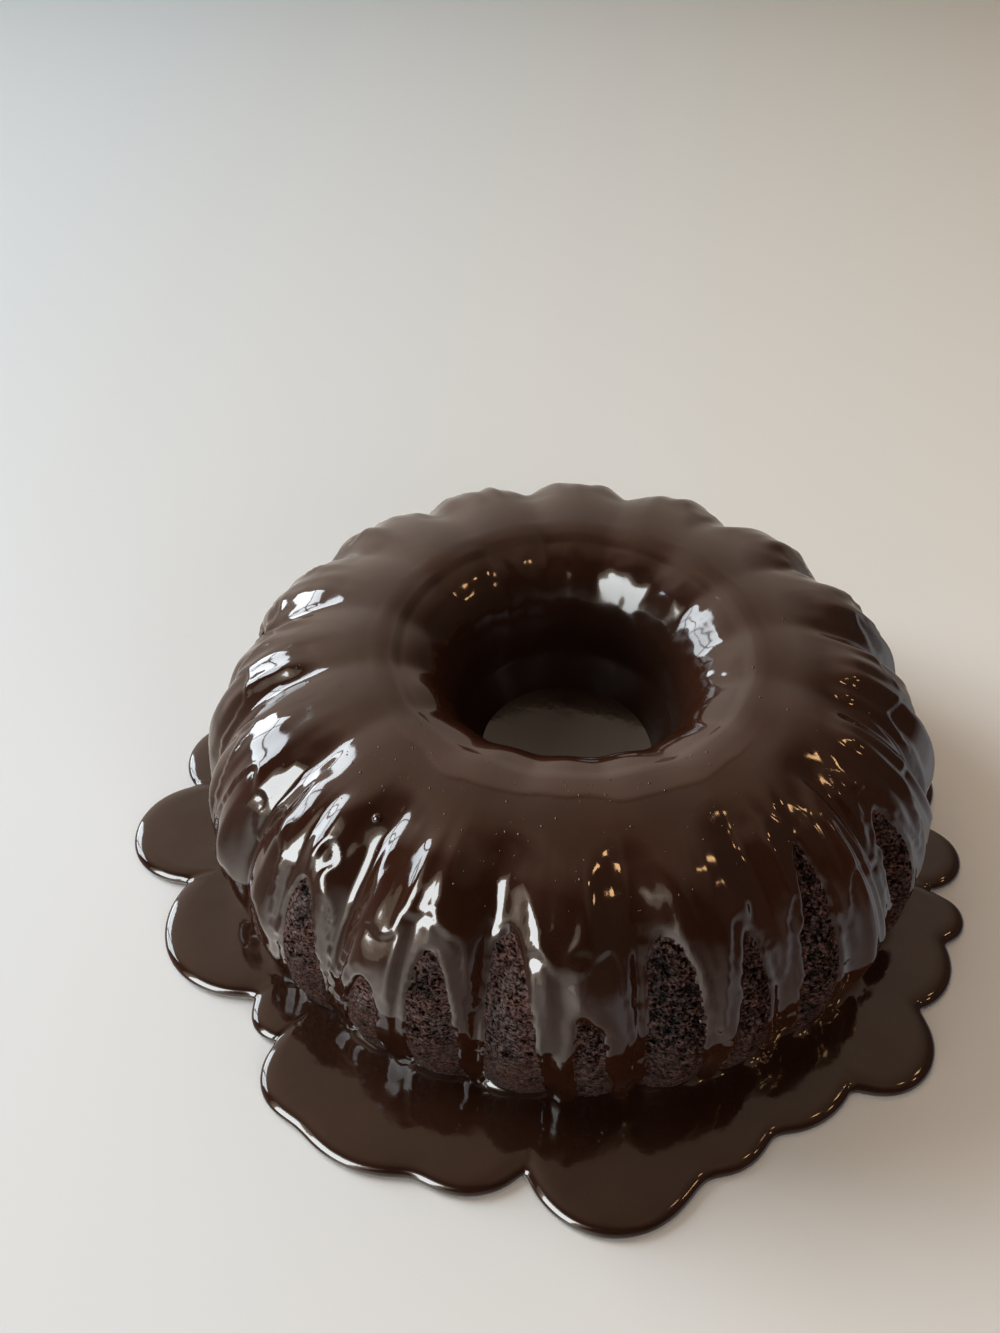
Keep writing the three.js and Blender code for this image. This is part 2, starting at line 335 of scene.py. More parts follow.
class Pour:
    """The glaze poured over the sponge: how thick it lies at each place."""

    sunk = -0.9
    lowest = 1.1 * sunk
    least = 0.4
    edge_width = 2.2
    thin_edge_share = 0.55
    thin_edge = (1.2, 5)
    falling_top = 2.2
    foot_rise = 2.2
    foot_level = 3
    foot_fade = 3

    # Filling of the grooves
    groove_rounding = 0.16
    filled_top = (1.78, 1.92, 2.05, 2.3)
    filled_hole = (2.15, 2.5)
    filled_front = (10, 40, 75)
    filled_share = (0.2, 0.85)

    # Rim of the hole
    rim_roll = 1.3
    front_roll = 2.2
    front_roll_reach = (0, 10, 55)
    front_roll_band = (2.0, 2.42, 2.45, 2.85)
    scallop_depth = 1.2
    scallop_rounding = 0.4
    scallop_level = 0.3
    scallop_start = (1.7, 1.95)
    scallop_rest = (2.3, 2.45, 2.8)
    lumpy_waver = [(0.2, 3.6, 17)]
    lumpy_band = (2.15, 2.35, 2.6, 2.8)
    lumpy_reach = (150, 50, 100)
    lumpy_least = 0.2
    wall_waver = [(0.08, 8, 29)]
    wall_start = (2.4, 2.7)
    hole_foot_rise = 1.8
    hole_foot = (2.7, 3.6)

    # Ripples, measured on a drum about as wide as the cake where they follow the flow
    drum_radius = 100
    flow_stretch = 0.22
    wobble_stretch = 0.6
    flow_waver = [(0.24, 5, 11), (0.12, 2.6, 16)]
    shoulder_waver = [(0.3, 6.5, 18)]
    wobble_waver = [(0.13, 4.5, 26)]
    broad_waver = [(0.16, 14, 12)]
    side_waver = [(0.12, 6, 13)]
    side_top = (1.55, 1.95)
    shoulder_band = (1.1, 1.4, 1.65, 1.95)

    # Narrow runs: ranges of their shift, width, rise, top station, height of the end, and slant
    trickles = 74
    trickle_ranges = [(-0.3, 0.3), (2.2, 4.2), (0.3, 1.1), (1.76, 1.86), (12, 50), (-2.2, 2.2)]
    trickle_start = 0.13
    trickle_fade = (-4, 12)
    slant_height = 45
    slant_span = 30
    drop_share = 0.1
    drop_above_end = 5
    drop_half_height = 4
    calm_reach = (21, 6, 14)
    calm_loss = 0.6
    right_reach = (66, 20, 34)
    right_rise = 0.5
    right_width_share = 0.8
    right_end_share = 0.4

    # Lower edge of the last pour on the side
    curtain_height = 56
    curtain_flat_waver = [(5, 9, 14)]
    curtain_waver = [(2.5, 6, 19)]
    curtain_edge = 2.4
    bead_share = 0.25
    bead_band = (0, 2, 2, 6)
    tongue_lengths = (4, 34)
    tongue_width = 3.6

    # Second pour near the hole
    second_radius = 61.5
    second_waver = [(2.6, 20, 15), (1.0, 8, 20)]
    second_reach = (4, 38, 62)
    second_start = 1.6
    second_end = (2.1, 2.5)
    second_step = 0.22
    second_edge = 1.4
    second_fall = 0.5
    second_fall_width = (1, 12)
    # Painted sheen: paler glaze inside the second pour's edge, on the front
    sheen_reach = (6, 30, 62)
    sheen_edge = (0, 0.8)
    sheen_end = (2.2, 2.4)

    def __init__(self, ring, glaze):
        self.ring = ring
        self.coat_thickness = glaze.coat_thickness / MM
        self.curtain_step = glaze.curtain_step / MM
        draws = np.random.default_rng(glaze.seed)
        self.tongues = draws.uniform(*self.tongue_lengths, SIDE_LOBES)
        self.trickle_draws = []
        for number in range(self.trickles):
            shift, *rest = (draws.uniform(*limits) for limits in self.trickle_ranges)
            self.trickle_draws.append(((number + shift) * 360 / self.trickles, *rest))

    def film(self, angles, stations):
        """Thickness of the glaze over the sponge's surface, below 0 where it is bare."""
        cover = self.ring.glaze_cover(angles, stations)
        radius, height, _, _ = self.ring.section(stations)
        places = polar(radius, angles, height)
        thickness = self.coat_thickness + self.filling(angles, stations) + self.rim(angles, stations, places)
        falling = self.curtain(angles, radius, height, places)
        falling = falling + self.trickle(angles, stations, radius, height)
        thickness = thickness + falling * (stations < self.falling_top)
        thickness = thickness + self.last_pour(angles, radius, stations, places)
        thickness = thickness + self.ripples(angles, stations, places)
        above_foot = np.clip(height - self.foot_level, 0, None)
        thickness = thickness + self.foot_rise * np.exp(-above_foot / self.foot_fade)
        edge = round_edge(cover, self.edge_width)
        edge = edge * lerp(self.thin_edge_share, 1, smoothstep(cover, *self.thin_edge))
        return np.where(cover > 0, np.maximum(thickness, self.least) * edge, np.maximum(cover, self.lowest))

    def filling(self, angles, stations):
        """Glaze that rounds the grooves' bottoms and fills their tops, so that the crown is nearly even."""
        groove = self.ring.groove_depth(angles, stations, self.groove_rounding)
        top = within(stations, *self.filled_top)
        hole = smoothstep(stations, *self.filled_hole)
        share = np.maximum(lerp(*self.filled_share, near_angle(angles, *self.filled_front)) * top, hole)
        return self.ring.groove_depth(angles, stations) - groove + share * groove

    def rim(self, angles, stations, places):
        """Fuller, scalloped roll of glaze over the rim of the hole, and its uneven wall."""
        roll = self.rim_roll * np.sin(np.pi * np.clip(stations - 2, 0, 1)) ** 2
        front_share = near_angle(angles, *self.front_roll_reach)
        roll = roll + self.front_roll * front_share * within(stations, *self.front_roll_band)
        start = lerp(*self.scallop_start, near_angle(angles, *self.filled_front))
        scallop = self.scallop_depth * within(stations, start, *self.scallop_rest)
        dip = lobe_dip(angles, CROWN_LOBES, self.scallop_rounding) - self.scallop_level
        lumpy = lerp(self.lumpy_least, 1, near_angle(angles, *self.lumpy_reach))
        uneven = lumpy * within(stations, *self.lumpy_band) * waver(places, self.lumpy_waver)
        uneven = uneven + smoothstep(stations, *self.wall_start) * waver(places, self.wall_waver)
        return roll - scallop * dip + uneven + self.hole_foot_rise * smoothstep(stations, *self.hole_foot)

    def ripples(self, angles, stations, places):
        """Low waves in the glaze, drawn out along its flow on the side."""
        run = self.ring.run_length(stations)
        flow = polar(self.drum_radius, angles, self.flow_stretch * run)
        wobbling = polar(self.drum_radius, angles, self.wobble_stretch * run)
        on_side = waver(flow, self.flow_waver) + waver(wobbling, self.wobble_waver)
        on_side = on_side + waver(places, self.side_waver)
        side = 1 - smoothstep(stations, *self.side_top)
        shoulder = within(stations, *self.shoulder_band)
        return side * on_side + shoulder * waver(flow, self.shoulder_waver) + waver(places, self.broad_waver)

    def trickle(self, angles, stations, radius, height):
        """Narrow runs side by side down the shoulder, each with a thicker end."""
        total = 0
        for middle, width, rise, top, end, slant in self.trickle_draws:
            right = near_angle(middle, *self.right_reach)
            calm = near_angle(middle, *self.calm_reach)
            rise = rise * (1 - self.calm_loss * calm) + self.right_rise * right
            width = lerp(width, self.right_width_share * width, right)
            end = lerp(end, self.right_end_share * end, right)
            turned = middle + slant * (self.slant_height - height) / self.slant_span
            along = np.radians(turn_between(angles, turned)) * radius
            across = np.exp(-((along / width) ** 2))
            started = 1 - smoothstep(stations, top - self.trickle_start, top)
            above_drop = height - end - self.drop_above_end
            drop = self.drop_share * np.exp(-((above_drop / self.drop_half_height) ** 2))
            running = smoothstep(height - end, *self.trickle_fade)
            total = total + rise * across * started * (running + drop)
        return total

    def curtain(self, angles, radius, height, places):
        """Step of the last pour: it ends on the lobes in a wavy edge and runs further down the grooves."""
        turn = (angles - GROOVE_ANGLE) / 360 * SIDE_LOBES
        groove = np.round(turn).astype(int)
        along = np.abs(turn - groove) * 2 * np.pi * radius / SIDE_LOBES
        tongue = self.tongues[groove % SIDE_LOBES] * np.exp(-((along / self.tongue_width) ** 2))
        wavy = waver(places * (1, 1, 0), self.curtain_flat_waver) + waver(places, self.curtain_waver)
        inside = height - (self.curtain_height + wavy - tongue)
        bead = self.bead_share * within(inside, *self.bead_band)
        return self.curtain_step * (round_edge(inside, self.curtain_edge) + bead)

    def last_pour_inside(self, radius, places):
        """Distance inside the wavy edge near the hole, where a second pour stopped."""
        return self.second_radius + waver(places * (1, 1, 0), self.second_waver) - radius

    def last_pour(self, angles, radius, stations, places):
        """Low step up on the front of the crown inside the second pour's edge, and a fall to the hole."""
        front = near_angle(angles, *self.second_reach)
        crown = (stations > self.second_start) * (1 - smoothstep(stations, *self.second_end))
        inside = self.last_pour_inside(radius, places)
        step = self.second_step * round_edge(inside, self.second_edge)
        return front * crown * (step - self.second_fall * smoothstep(inside, *self.second_fall_width))

    def sheen_share(self, angles, stations):
        """Share of painted sheen, a paler glaze colour inside the second pour's edge, on the front."""
        radius, height, _, _ = self.ring.section(stations)
        inside = self.last_pour_inside(radius, polar(radius, angles, height))
        crown = (stations > self.second_start) * (1 - smoothstep(stations, *self.sheen_end))
        return near_angle(angles, *self.sheen_reach) * smoothstep(inside, *self.sheen_edge) * crown


def grid_quads(rows, columns):
    """Corner numbers of the quads between rows of points that close round the axis, facing outwards."""
    row, column = np.meshgrid(np.arange(rows - 1), np.arange(columns), indexing="ij")
    after = (column + 1) % columns
    low, high = row * columns, (row + 1) * columns
    return np.stack([low + column, low + after, high + after, high + column], axis=-1).reshape(-1, 4)


def closed_grid_quads(rows, columns):
    """Quads between the rows of points, and those that join the last row to the first."""
    first = np.arange(columns)
    last = (rows - 1) * columns + first
    closing = np.stack([last, np.roll(last, -1), np.roll(first, -1), first], axis=-1)
    return np.concatenate([grid_quads(rows, columns), closing])


def make_piece(name, points, quads, material, caps=()):
    """Mesh object from points in millimetres, quads and flat caps, smooth shaded."""
    sides = [4] * len(quads) + [len(cap) for cap in caps]
    corners = np.concatenate([quads.ravel(), *caps])
    used, corners = np.unique(corners, return_inverse=True)
    starts = np.concatenate([[0], np.cumsum(sides)[:-1]])
    mesh = bpy.data.meshes.new(name)
    mesh.vertices.add(len(used))
    mesh.vertices.foreach_set("co", (points.reshape(-1, 3)[used] * MM).astype(np.float32).ravel())
    mesh.loops.add(len(corners))
    mesh.loops.foreach_set("vertex_index", corners.astype(np.int32))
    mesh.polygons.add(len(sides))
    mesh.polygons.foreach_set("loop_start", starts.astype(np.int32))
    mesh.polygons.foreach_set("use_smooth", np.ones(len(sides), dtype=bool))
    mesh.update(calc_edges=True)
    if mesh.validate():
        raise RuntimeError(f"{name} has faulty faces")
    mesh.materials.append(material)
    piece = bpy.data.objects.new(name, mesh)
    bpy.context.scene.collection.objects.link(piece)
    return piece, used


def store_share(piece, name, values):
    """Keeps a share from 0 to 1 at each point of a piece, for its material."""
    attribute = piece.data.attributes.new(name, "FLOAT", "POINT")
    attribute.data.foreach_set("value", np.clip(values, 0, 1).astype(np.float32).ravel())


class NodeBench:
    """Adds and links the nodes of one material or of the world."""

    def __init__(self, tree, place="Object"):
        self.tree = tree
        self.place = self.add("TexCoord").outputs[place]

    def link(self, source, target):
        """Joins an output to an input."""
        self.tree.links.new(source, target)

    def add(self, kind, values=None, links=None, **settings):
        """A new node with its settings, values on some of its inputs and links to others."""
        node = self.tree.nodes.new(f"ShaderNode{kind}")
        for name, setting in settings.items():
            setattr(node, name, setting)
        for key, value in (values or {}).items():
            node.inputs[key].default_value = value
        for key, source in (links or {}).items():
            if source is not None:
                self.link(source, node.inputs[key])
        return node

    def along(self, direction):
        """How far the place lies along a direction."""
        node = self.add("VectorMath", {1: direction}, {0: self.place}, operation="DOT_PRODUCT")
        return node.outputs["Value"]

    def noise(self, size, detail=3.0, roughness=0.5, flattened=1.0):
        """Noise with features of a size in metres, lower than wide where they are flattened."""
        squeezed = self.add("VectorMath", {1: (1, 1, flattened)}, {0: self.place}, operation="MULTIPLY")
        values = {"Scale": 1 / size, "Detail": detail, "Roughness": roughness}
        return self.add("TexNoise", values, {"Vector": squeezed.outputs["Vector"]}).outputs["Fac"]

    def ramp(self, share, stops):
        """Colours or greys at stops from 0 to 1."""
        node = self.add("ValToRGB", links={"Fac": share})
        elements = node.color_ramp.elements
        while len(elements) < len(stops):
            elements.new(0.5)
        for element, (position, colour) in zip(elements, stops):
            element.position = position
            element.color = (*colour, 1)
        return node.outputs["Color"]

    def span(self, share, from_range, to_range):
        """Share carried from one range to another."""
        labels = ("From Min", "From Max", "To Min", "To Max")
        values = dict(zip(labels, (*from_range, *to_range)))
        return self.add("MapRange", values, {"Value": share}).outputs["Result"]

    def mix(self, first, second, share=None, kind="MIX"):
        """Colour between two colours, their product or their sum."""
        links = {"Factor": share, 6: first, 7: second}
        return self.add("Mix", {"Factor": 1}, links, data_type="RGBA", blend_type=kind).outputs[2]

    def stored(self, name):
        """A share kept at the points of the piece."""
        return self.add("Attribute", attribute_name=name).outputs["Fac"]

    def bump(self, height, depth, strength, under=None):
        """Small relief of a depth in metres."""
        values = {"Strength": strength, "Distance": depth}
        return self.add("Bump", values, {"Height": height, "Normal": under}).outputs["Normal"]


def new_material(name):
    """Material with one shader, and the bench for its nodes."""
    material = bpy.data.materials.new(name)
    material.use_nodes = True
    return material, material.node_tree.nodes["Principled BSDF"], NodeBench(material.node_tree)


def grey(value):
    """A colour without hue."""
    return (value, value, value)


def shade(colour, factor):
    """A colour made darker or lighter."""
    return tuple(channel * factor for channel in colour)


def mottled(colour):
    """Stops from a little darker than a colour to a little lighter."""
    return [(0.3, shade(colour, 0.85)), (0.7, shade(colour, 1.15))]


def glaze_material(glaze):
    """Poured chocolate glaze: dark red-brown, glossy, faintly uneven, with painted shade that makes it
    darker in the hole, the well and the pool, and a painted sheen that makes it paler on the front of the
    rim.
    """
    known = bpy.data.materials.get("chocolate_glaze")
    if known:
        return known
    material, shader, bench = new_material("chocolate_glaze")
    uneven = bench.noise(size=0.022, detail=4, roughness=0.55)
    open_colour = bench.ramp(uneven, [(0.3, glaze.deep_colour), (0.7, glaze.warm_colour)])
    shaded_low_colour = bench.ramp(uneven, mottled(glaze.shaded_low_colour))
    painted_sheen_colour = bench.ramp(uneven, mottled(glaze.painted_sheen_colour))
    # Painted shade: the share "deep" mixes in the darker glaze of the hole, the well and the pool
    body = bench.mix(open_colour, shaded_low_colour, bench.stored("deep"))
    # Painted sheen: the share "dull" mixes in a paler glaze near the front of the rim
    bench.link(bench.mix(body, painted_sheen_colour, bench.stored("dull")), shader.inputs["Base Color"])
    gloss = bench.ramp(bench.noise(size=0.009), [(0.35, grey(0.05)), (0.7, grey(0.11))])
    soft = bench.ramp(bench.stored("soft"), [(0, grey(0)), (1, grey(0.12))])
    bench.link(bench.mix(gloss, soft, kind="ADD"), shader.inputs["Roughness"])
    bench.link(bench.span(bench.stored("soft"), (0, 1), (0.5, 0.22)), shader.inputs["Specular IOR Level"])
    dimpled = bench.bump(bench.noise(size=0.004, detail=2), depth=0.00012, strength=0.25)
    bench.link(dimpled, shader.inputs["Normal"])
    shader.inputs["IOR"].default_value = 1.5
    return material


def crumb_material(crumb):
    """Moist, speckled crumb: browner where it came clean off the tin, dark where it is torn open, with
    painted shade in its pores, cracks, strand gaps and foot band, and painted highlight flecks on its
    strands.
    """
    material, shader, bench = new_material("chocolate_crumb")
    torn, even, foot = crumb.torn_colour, crumb.even_colour, crumb.shaded_foot_colour
    patches = bench.noise(size=0.0035, detail=3, roughness=0.6)
    speckle = bench.noise(size=0.0007, detail=3, roughness=0.65)
    strands = bench.noise(size=0.0012, detail=4, roughness=0.66, flattened=1.9)
    hue = bench.noise(size=0.009, detail=2)

    middle_grey = sum(even) / 3
    dull = tuple(lerp(channel, middle_grey, 0.5) for channel in even)
    even_hue = bench.ramp(hue, [(0.42, dull), (0.58, even)])
    even_patches = bench.ramp(patches, [(0.35, grey(0.72)), (0.5, grey(1)), (0.68, grey(1.25))])
    even_body = bench.mix(even_hue, even_patches, kind="MULTIPLY")
    # Grain tone, with painted shade in the strands' gaps and painted highlight flecks on their tops, from
    # the noise that also sets the relief
    even_speckle_shade_highlight = bench.ramp(strands, [
        (0.4, (0.06, 0.05, 0.05)), (0.5, (0.7, 0.69, 0.69)), (0.64, (1.7, 1.72, 1.75)),
    ])
    torn_body = bench.ramp(patches, [(0.35, shade(torn, 0.6)), (0.55, torn), (0.75, shade(torn, 1.7))])
    # Same painted shade and highlight flecks on the torn crumb
    torn_speckle_shade_highlight = bench.ramp(strands, [
        (0.43, (0.05, 0.04, 0.04)), (0.53, (0.72, 0.7, 0.71)), (0.68, (2.1, 2.2, 2.25)),
    ])
    # Foot band: a smoother crust, its colour darkened as painted shade near the pool
    shaded_foot_body = bench.ramp(patches, [(0.3, shade(foot, 0.6)), (0.45, foot), (0.7, shade(foot, 1.25))])
    foot_speckle = bench.ramp(speckle, [(0.34, (0.25, 0.23, 0.22)), (0.47, grey(0.85)), (0.7, grey(1.35))])

    even_crumb = bench.mix(even_body, even_speckle_shade_highlight, kind="MULTIPLY")
    torn_crumb = bench.mix(torn_body, torn_speckle_shade_highlight, kind="MULTIPLY")
    shaded_foot_crumb = bench.mix(shaded_foot_body, foot_speckle, kind="MULTIPLY")
    body = bench.mix(even_crumb, torn_crumb, bench.stored("torn"))
    body = bench.mix(body, shaded_foot_crumb, bench.stored("shaded_foot_band"))
    # Painted shade: the crumb's colour is darkened in pores, cracks and the gap under the glaze edge
    pits = bench.ramp(bench.stored("pore"), [(0.2, grey(1)), (0.65, (0.1, 0.085, 0.08))])
    bench.link(bench.mix(body, pits, kind="MULTIPLY"), shader.inputs["Base Color"])
    bench.link(bench.span(speckle, (0.45, 0.65), (0.9, 0.32)), shader.inputs["Roughness"])
    bench.link(bench.span(strands, (0.42, 0.6), (0, 0.2)), shader.inputs["Specular IOR Level"])
    coarse = bench.bump(strands, depth=0.001, strength=0.8)
    grain = bench.noise(size=0.0004, detail=2, roughness=0.6)
    bench.link(bench.bump(grain, depth=0.0003, strength=0.6, under=coarse), shader.inputs["Normal"])
    return material


def floor_material(stage):
    """Pale matt floor with painted light: cooler to the left as painted daylight, warmer and darker to the
    right as painted shade, and darker far behind as painted shade.
    """
    material, shader, bench = new_material("pale_floor")
    across = bench.span(bench.along((1, 0, 0)), (-0.35, 0.35), (0, 1))
    painted_light_tint = bench.ramp(across, [(0, stage.daylit_floor_colour), (1, stage.shaded_floor_colour)])
    # Painted shade: a little darker at the front and much darker far behind, on the wall
    depth = bench.span(bench.along((0, 1, 0)), (-0.25, 0.95), (0, 1))
    fade = bench.ramp(depth, [
        (0, grey(0.95)), (0.2, grey(1)), (0.35, (0.95, 0.945, 0.93)), (1, (0.7, 0.69, 0.665)),
    ])
    bench.link(bench.mix(painted_light_tint, fade, kind="MULTIPLY"), shader.inputs["Base Color"])
    shader.inputs["Roughness"].default_value = 0.75
    return material


def measure(name, description, default, least=0.0):
    """A setting in metres."""
    return FloatProperty(name=name, description=description, default=default, min=least, unit="LENGTH")


def swatch(name, description, default):
    """A setting that is a colour."""
    return FloatVectorProperty(
        name=name, description=description, default=default, subtype="COLOR", size=3, min=0, max=1)


class BundtShape(bpy.types.PropertyGroup):
    """Sizes of the fluted ring of sponge"""

    base_radius: measure("Base Radius", "Radius of the sponge at its foot", 0.1066, 0.01)
    widest_radius: measure("Widest Radius", "Radius of the sponge at its widest", 0.1126, 0.01)
    widest_height: measure("Widest Height", "Height of the widest place", 0.022, 0.001)
    crown_radius: measure("Crown Radius", "Radius of the crown's highest ring", 0.06, 0.01)
    crown_height: measure("Crown Height", "Height of the sponge", SPONGE_TOP, 0.01)
    hole_radius: measure("Hole Radius", "Radius of the hole half way down", 0.035, 0.005)
    hole_height: measure("Hole Height", "Height of the straight wall of the hole", 0.038, 0.005)
    hole_foot_radius: measure("Hole Foot Radius", "Radius of the hole at the floor", 0.018, 0.005)
    crown_groove: measure("Crown Groove", "Depth of the grooves between the crown's lobes", 0.006)
    side_groove: measure("Side Groove", "Depth of the grooves between the side's lobes", 0.0038)
    hole_groove: measure("Hole Groove", "Depth of the grooves in the hole", 0.0016)


class BundtCrumb(bpy.types.PropertyGroup):
    """Grain and colours of the bare crumb"""

    spacing: measure("Spacing", "Distance between the points of the bare crumb", 0.0006, 0.0003)
    pore_depth: measure("Pore Depth", "Depth of the largest pores", 0.0017)
    band_height: measure("Foot Band", "Height of the smooth band at the foot", 0.027)
    torn_colour: swatch("Torn Crumb", "Colour of the crumb that is torn open", (0.066, 0.0275, 0.0205))
    even_colour: swatch("Even Crumb", "Colour of the crumb that is not torn", (0.126, 0.059, 0.048))
    # Foot band colour, darkened as painted shade at the base
    shaded_foot_colour: swatch("Foot Band Colour", "Colour of the smooth band at the foot", (0.062, 0.029, 0.022))
    seed: IntProperty(name="Seed", description="Seed of the pores", default=7, min=0)


class BundtGlaze(bpy.types.PropertyGroup):
    """Thickness and colours of the glaze"""

    coat_thickness: measure("Coat Thickness", "Thickness of the glaze over the sponge", 0.0016, 0.0003)
    curtain_step: measure("Curtain Step", "Extra thickness of the last pour above its wavy edge", 0.0006)
    pool_thickness: measure("Pool Thickness", "Thickness of the glaze round the foot", POOL_TOP, 0.0005)
    well_depth: measure("Well Depth", "Depth of the glaze in the hole", WELL_TOP, 0.001)
    bubbles: IntProperty(
        name="Bubbles", description="Number of small bubbles on the crown", default=150, min=0)
    deep_colour: swatch("Deep Glaze", "Darkest colour of the glaze", (0.025, 0.008, 0.004))
    warm_colour: swatch("Warm Glaze", "Warmest colour of the glaze", (0.038, 0.0122, 0.0057))
    # Painted sheen: paler glaze colour inside the second pour's edge on the front
    painted_sheen_colour: swatch("Dull Glaze", "Colour of the duller glaze near the hole", (0.06, 0.029, 0.0205))
    # Painted shade: darker glaze colour for the hole, the well and the pool
    shaded_low_colour: swatch("Low Glaze", "Colour of the glaze in the hole and the pool", (0.026, 0.0105, 0.0062))
    seed: IntProperty(name="Seed", description="Seed of the runs and bubbles", default=5, min=0)


class BundtStage(bpy.types.PropertyGroup):
    """Floor and lights"""

    # Painted light on the floor: cool daylight to the left, warmer shade to the right
    daylit_floor_colour: swatch("Cool Floor", "Colour of the floor to the left", (0.825, 0.895, 0.955))
    shaded_floor_colour: swatch("Warm Floor", "Colour of the floor to the right", (0.865, 0.805, 0.715))
    window_colour: swatch("Window Colour", "Colour of the daylight", (0.86, 0.94, 1.0))
    cream_colour: swatch("Cream Colour", "Colour of the light round the front window", (1.0, 0.86, 0.66))
    lamp_colour: swatch("Lamp Colour", "Colour of the warm lamps", (1.0, 0.58, 0.27))


class BUNDT_OT_sponge(bpy.types.Operator):
    """Build the sponge, with open crumb where the glaze leaves it bare"""

    bl_idname = "bundt.sponge"
    bl_label = "Sponge"

    # Rows and columns of points
    bare_top = 1.66
    hidden_start = 1.7
    hidden_row_spacing = 5
    hidden_spacing = 2.6
    back_spacing = 1.1
    beside_arch = 2

    # How far each arch is torn open, by its side lobe
    torn_lobes = {-5: 0.25, -4: 0.2, -3: 0.55, -2: 0.3, -1: 0.9, 0: 1.0, 1: 0.95, 2: 0.9, 4: 0.8}
    torn_elsewhere = 0.6
    torn_waver = [(0.35, 7, 24), (0.2, 3, 25)]

    # Smooth band at the foot, its colour darkened with painted shade
    band_waver = [(2.5, 12, 41), (0.8, 3, 42)]
    band_edge = 2
    torn_band_loss = 0.6

    # Relief of the bare crumb
    bare_edge = (-0.3, 1.6)
    bare_sunk = 0.25
    lump_waver = [(0.5, 7, 21)]
    flattening = 1.7
    clump_layers = [(1, 2.6, 22), (0.8, 1.4, 23)]
    grain_height = 0.85
    crack_share = (0.45, 0.9)
    crack_start = 0.06
    crack_width = (0.26, 0.46)
    # Gap under the glaze edge: sunk, and darkened with painted shade
    gap_shade_waver = [(0.5, 3, 27)]
    gap_shade_share = (0.3, 0.6)
    gap_shade_edge = (0.6, 2.4)
    gap_shade_above_band = 14
    even_calm = 0.6
    foot_calm = 0.65
    foot_pore_depth = 0.7
    foot_fade = (-6, 4)

    # Drawn pores: how many on an area, where, how large, how much wider than high, how tilted, how steep
    pore_number = (0.07, 0.5)
    pore_lowest = 0.25
    pore_height_power = 0.8
    pore_size_power = 4
    pore_least = 0.35
    pore_extra = (0.4, 0.9)
    pore_width = (1.1, 2.6)
    pore_tilt = 0.4
    pore_full_size = 1.1
    pore_steepness = 1.6
    arch_radius = 110

    # Larger pits: side lobe, distance along and up, half width, half height
    large_pits = [
        (-5, -4.6, 49, 2.2, 1.7), (-2, -6.5, 30, 3.4, 0.7), (-2, 2, 50, 1.3, 1.0), (-2, -3, 53, 1.2, 0.8),
        (0, -5.4, 55, 1.8, 1.6), (0, -6, 50, 2.4, 1.1), (0, -6.6, 46, 2.2, 0.9), (0, -5, 40.5, 2.6, 0.9),
        (0, 2.6, 33, 3.0, 1.1), (0, 0.5, 24, 1.2, 1.4), (1, -2, 47, 1.8, 1.0), (2, -3.4, 55, 2.0, 1.2),
    ]
    large_pit_tilt = 0.2

    def execute(self, context):
        ring = FlutedRing(context.scene.bundt_shape)
        crumb = context.scene.bundt_crumb
        spacing = crumb.spacing / MM
        angles = self.column_angles(ring, spacing)
        outer = ring.even_stations(0, self.bare_top, spacing)
        hidden = ring.even_stations(self.hidden_start, 4, self.hidden_row_spacing)
        stations = np.concatenate([outer, hidden])[:, None]
        torn = self.torn_share(ring, angles, stations)
        raised, pores = self.crumb_relief(ring, angles, stations, crumb, torn)
        points = ring.points(angles, stations, raised)
        quads = closed_grid_quads(*raised.shape)
        piece, used = make_piece("sponge_crumb", points, quads, crumb_material(crumb))
        places = points.reshape(-1, 3)[used]
        torn = torn.ravel()[used]
        # Painted shade: share of the darkened band at the foot
        store_share(piece, "shaded_foot_band", self.shaded_foot_band(places, crumb, torn))
        # Painted shade: share of pores, cracks and the gap under the glaze, which darkens the crumb's colour
        store_share(piece, "pore", pores.ravel()[used])
        store_share(piece, "torn", torn)
        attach(piece, BODY)
        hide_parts("sponge")
        return {"FINISHED"}

    def column_angles(self, ring, spacing):
        """Close columns on bare crumb, wide ones under the glaze."""
        reaches = {
            lobe % SIDE_LOBES: half_width + abs(lean) / 2 + self.beside_arch
            for lobe, _, half_width, lean in ARCHES
        }
        seen = {lobe % SIDE_LOBES for lobe, _, _, _ in FRONT_ARCHES}
        half = math.pi * ring.widest_radius / SIDE_LOBES
        angles = []
        for lobe in range(SIDE_LOBES):
            reach = min(reaches.get(lobe, 0), half - 1)
            step = spacing if lobe in seen else self.back_spacing
            beside = np.linspace(reach, half, max(2, int((half - reach) / self.hidden_spacing)) + 1)
            bare = np.linspace(-reach, reach, int(2 * reach / step) + 1)
            along = np.unique(np.concatenate([-beside, bare, beside[:-1]]))
            angles.extend(lobe_middle(lobe + along / half / 2))
        return np.array(angles)[None, :]

    def torn_share(self, ring, angles, stations):
        """How far the crumb is torn open, from 0 to 1: each arch has its own share, in patches."""
        lobes = np.floor((angles - GROOVE_ANGLE) / 360 * SIDE_LOBES).astype(int) % SIDE_LOBES
        shares = np.full(SIDE_LOBES, self.torn_elsewhere)
        for lobe, share in self.torn_lobes.items():
            shares[lobe % SIDE_LOBES] = share
        return np.clip(shares[lobes] + waver(ring.points(angles, stations), self.torn_waver), 0, 1)

    def shaded_foot_band(self, places, crumb, torn):
        """Share of the smooth band at the foot, whose colour is darkened with painted shade, with a wavy
        top, less where the crumb is torn.
        """
        top = crumb.band_height / MM + waver(places, self.band_waver)
        below = 1 - smoothstep(places[:, 2] - top, -self.band_edge, self.band_edge)
        return (1 - self.torn_band_loss * torn) * below

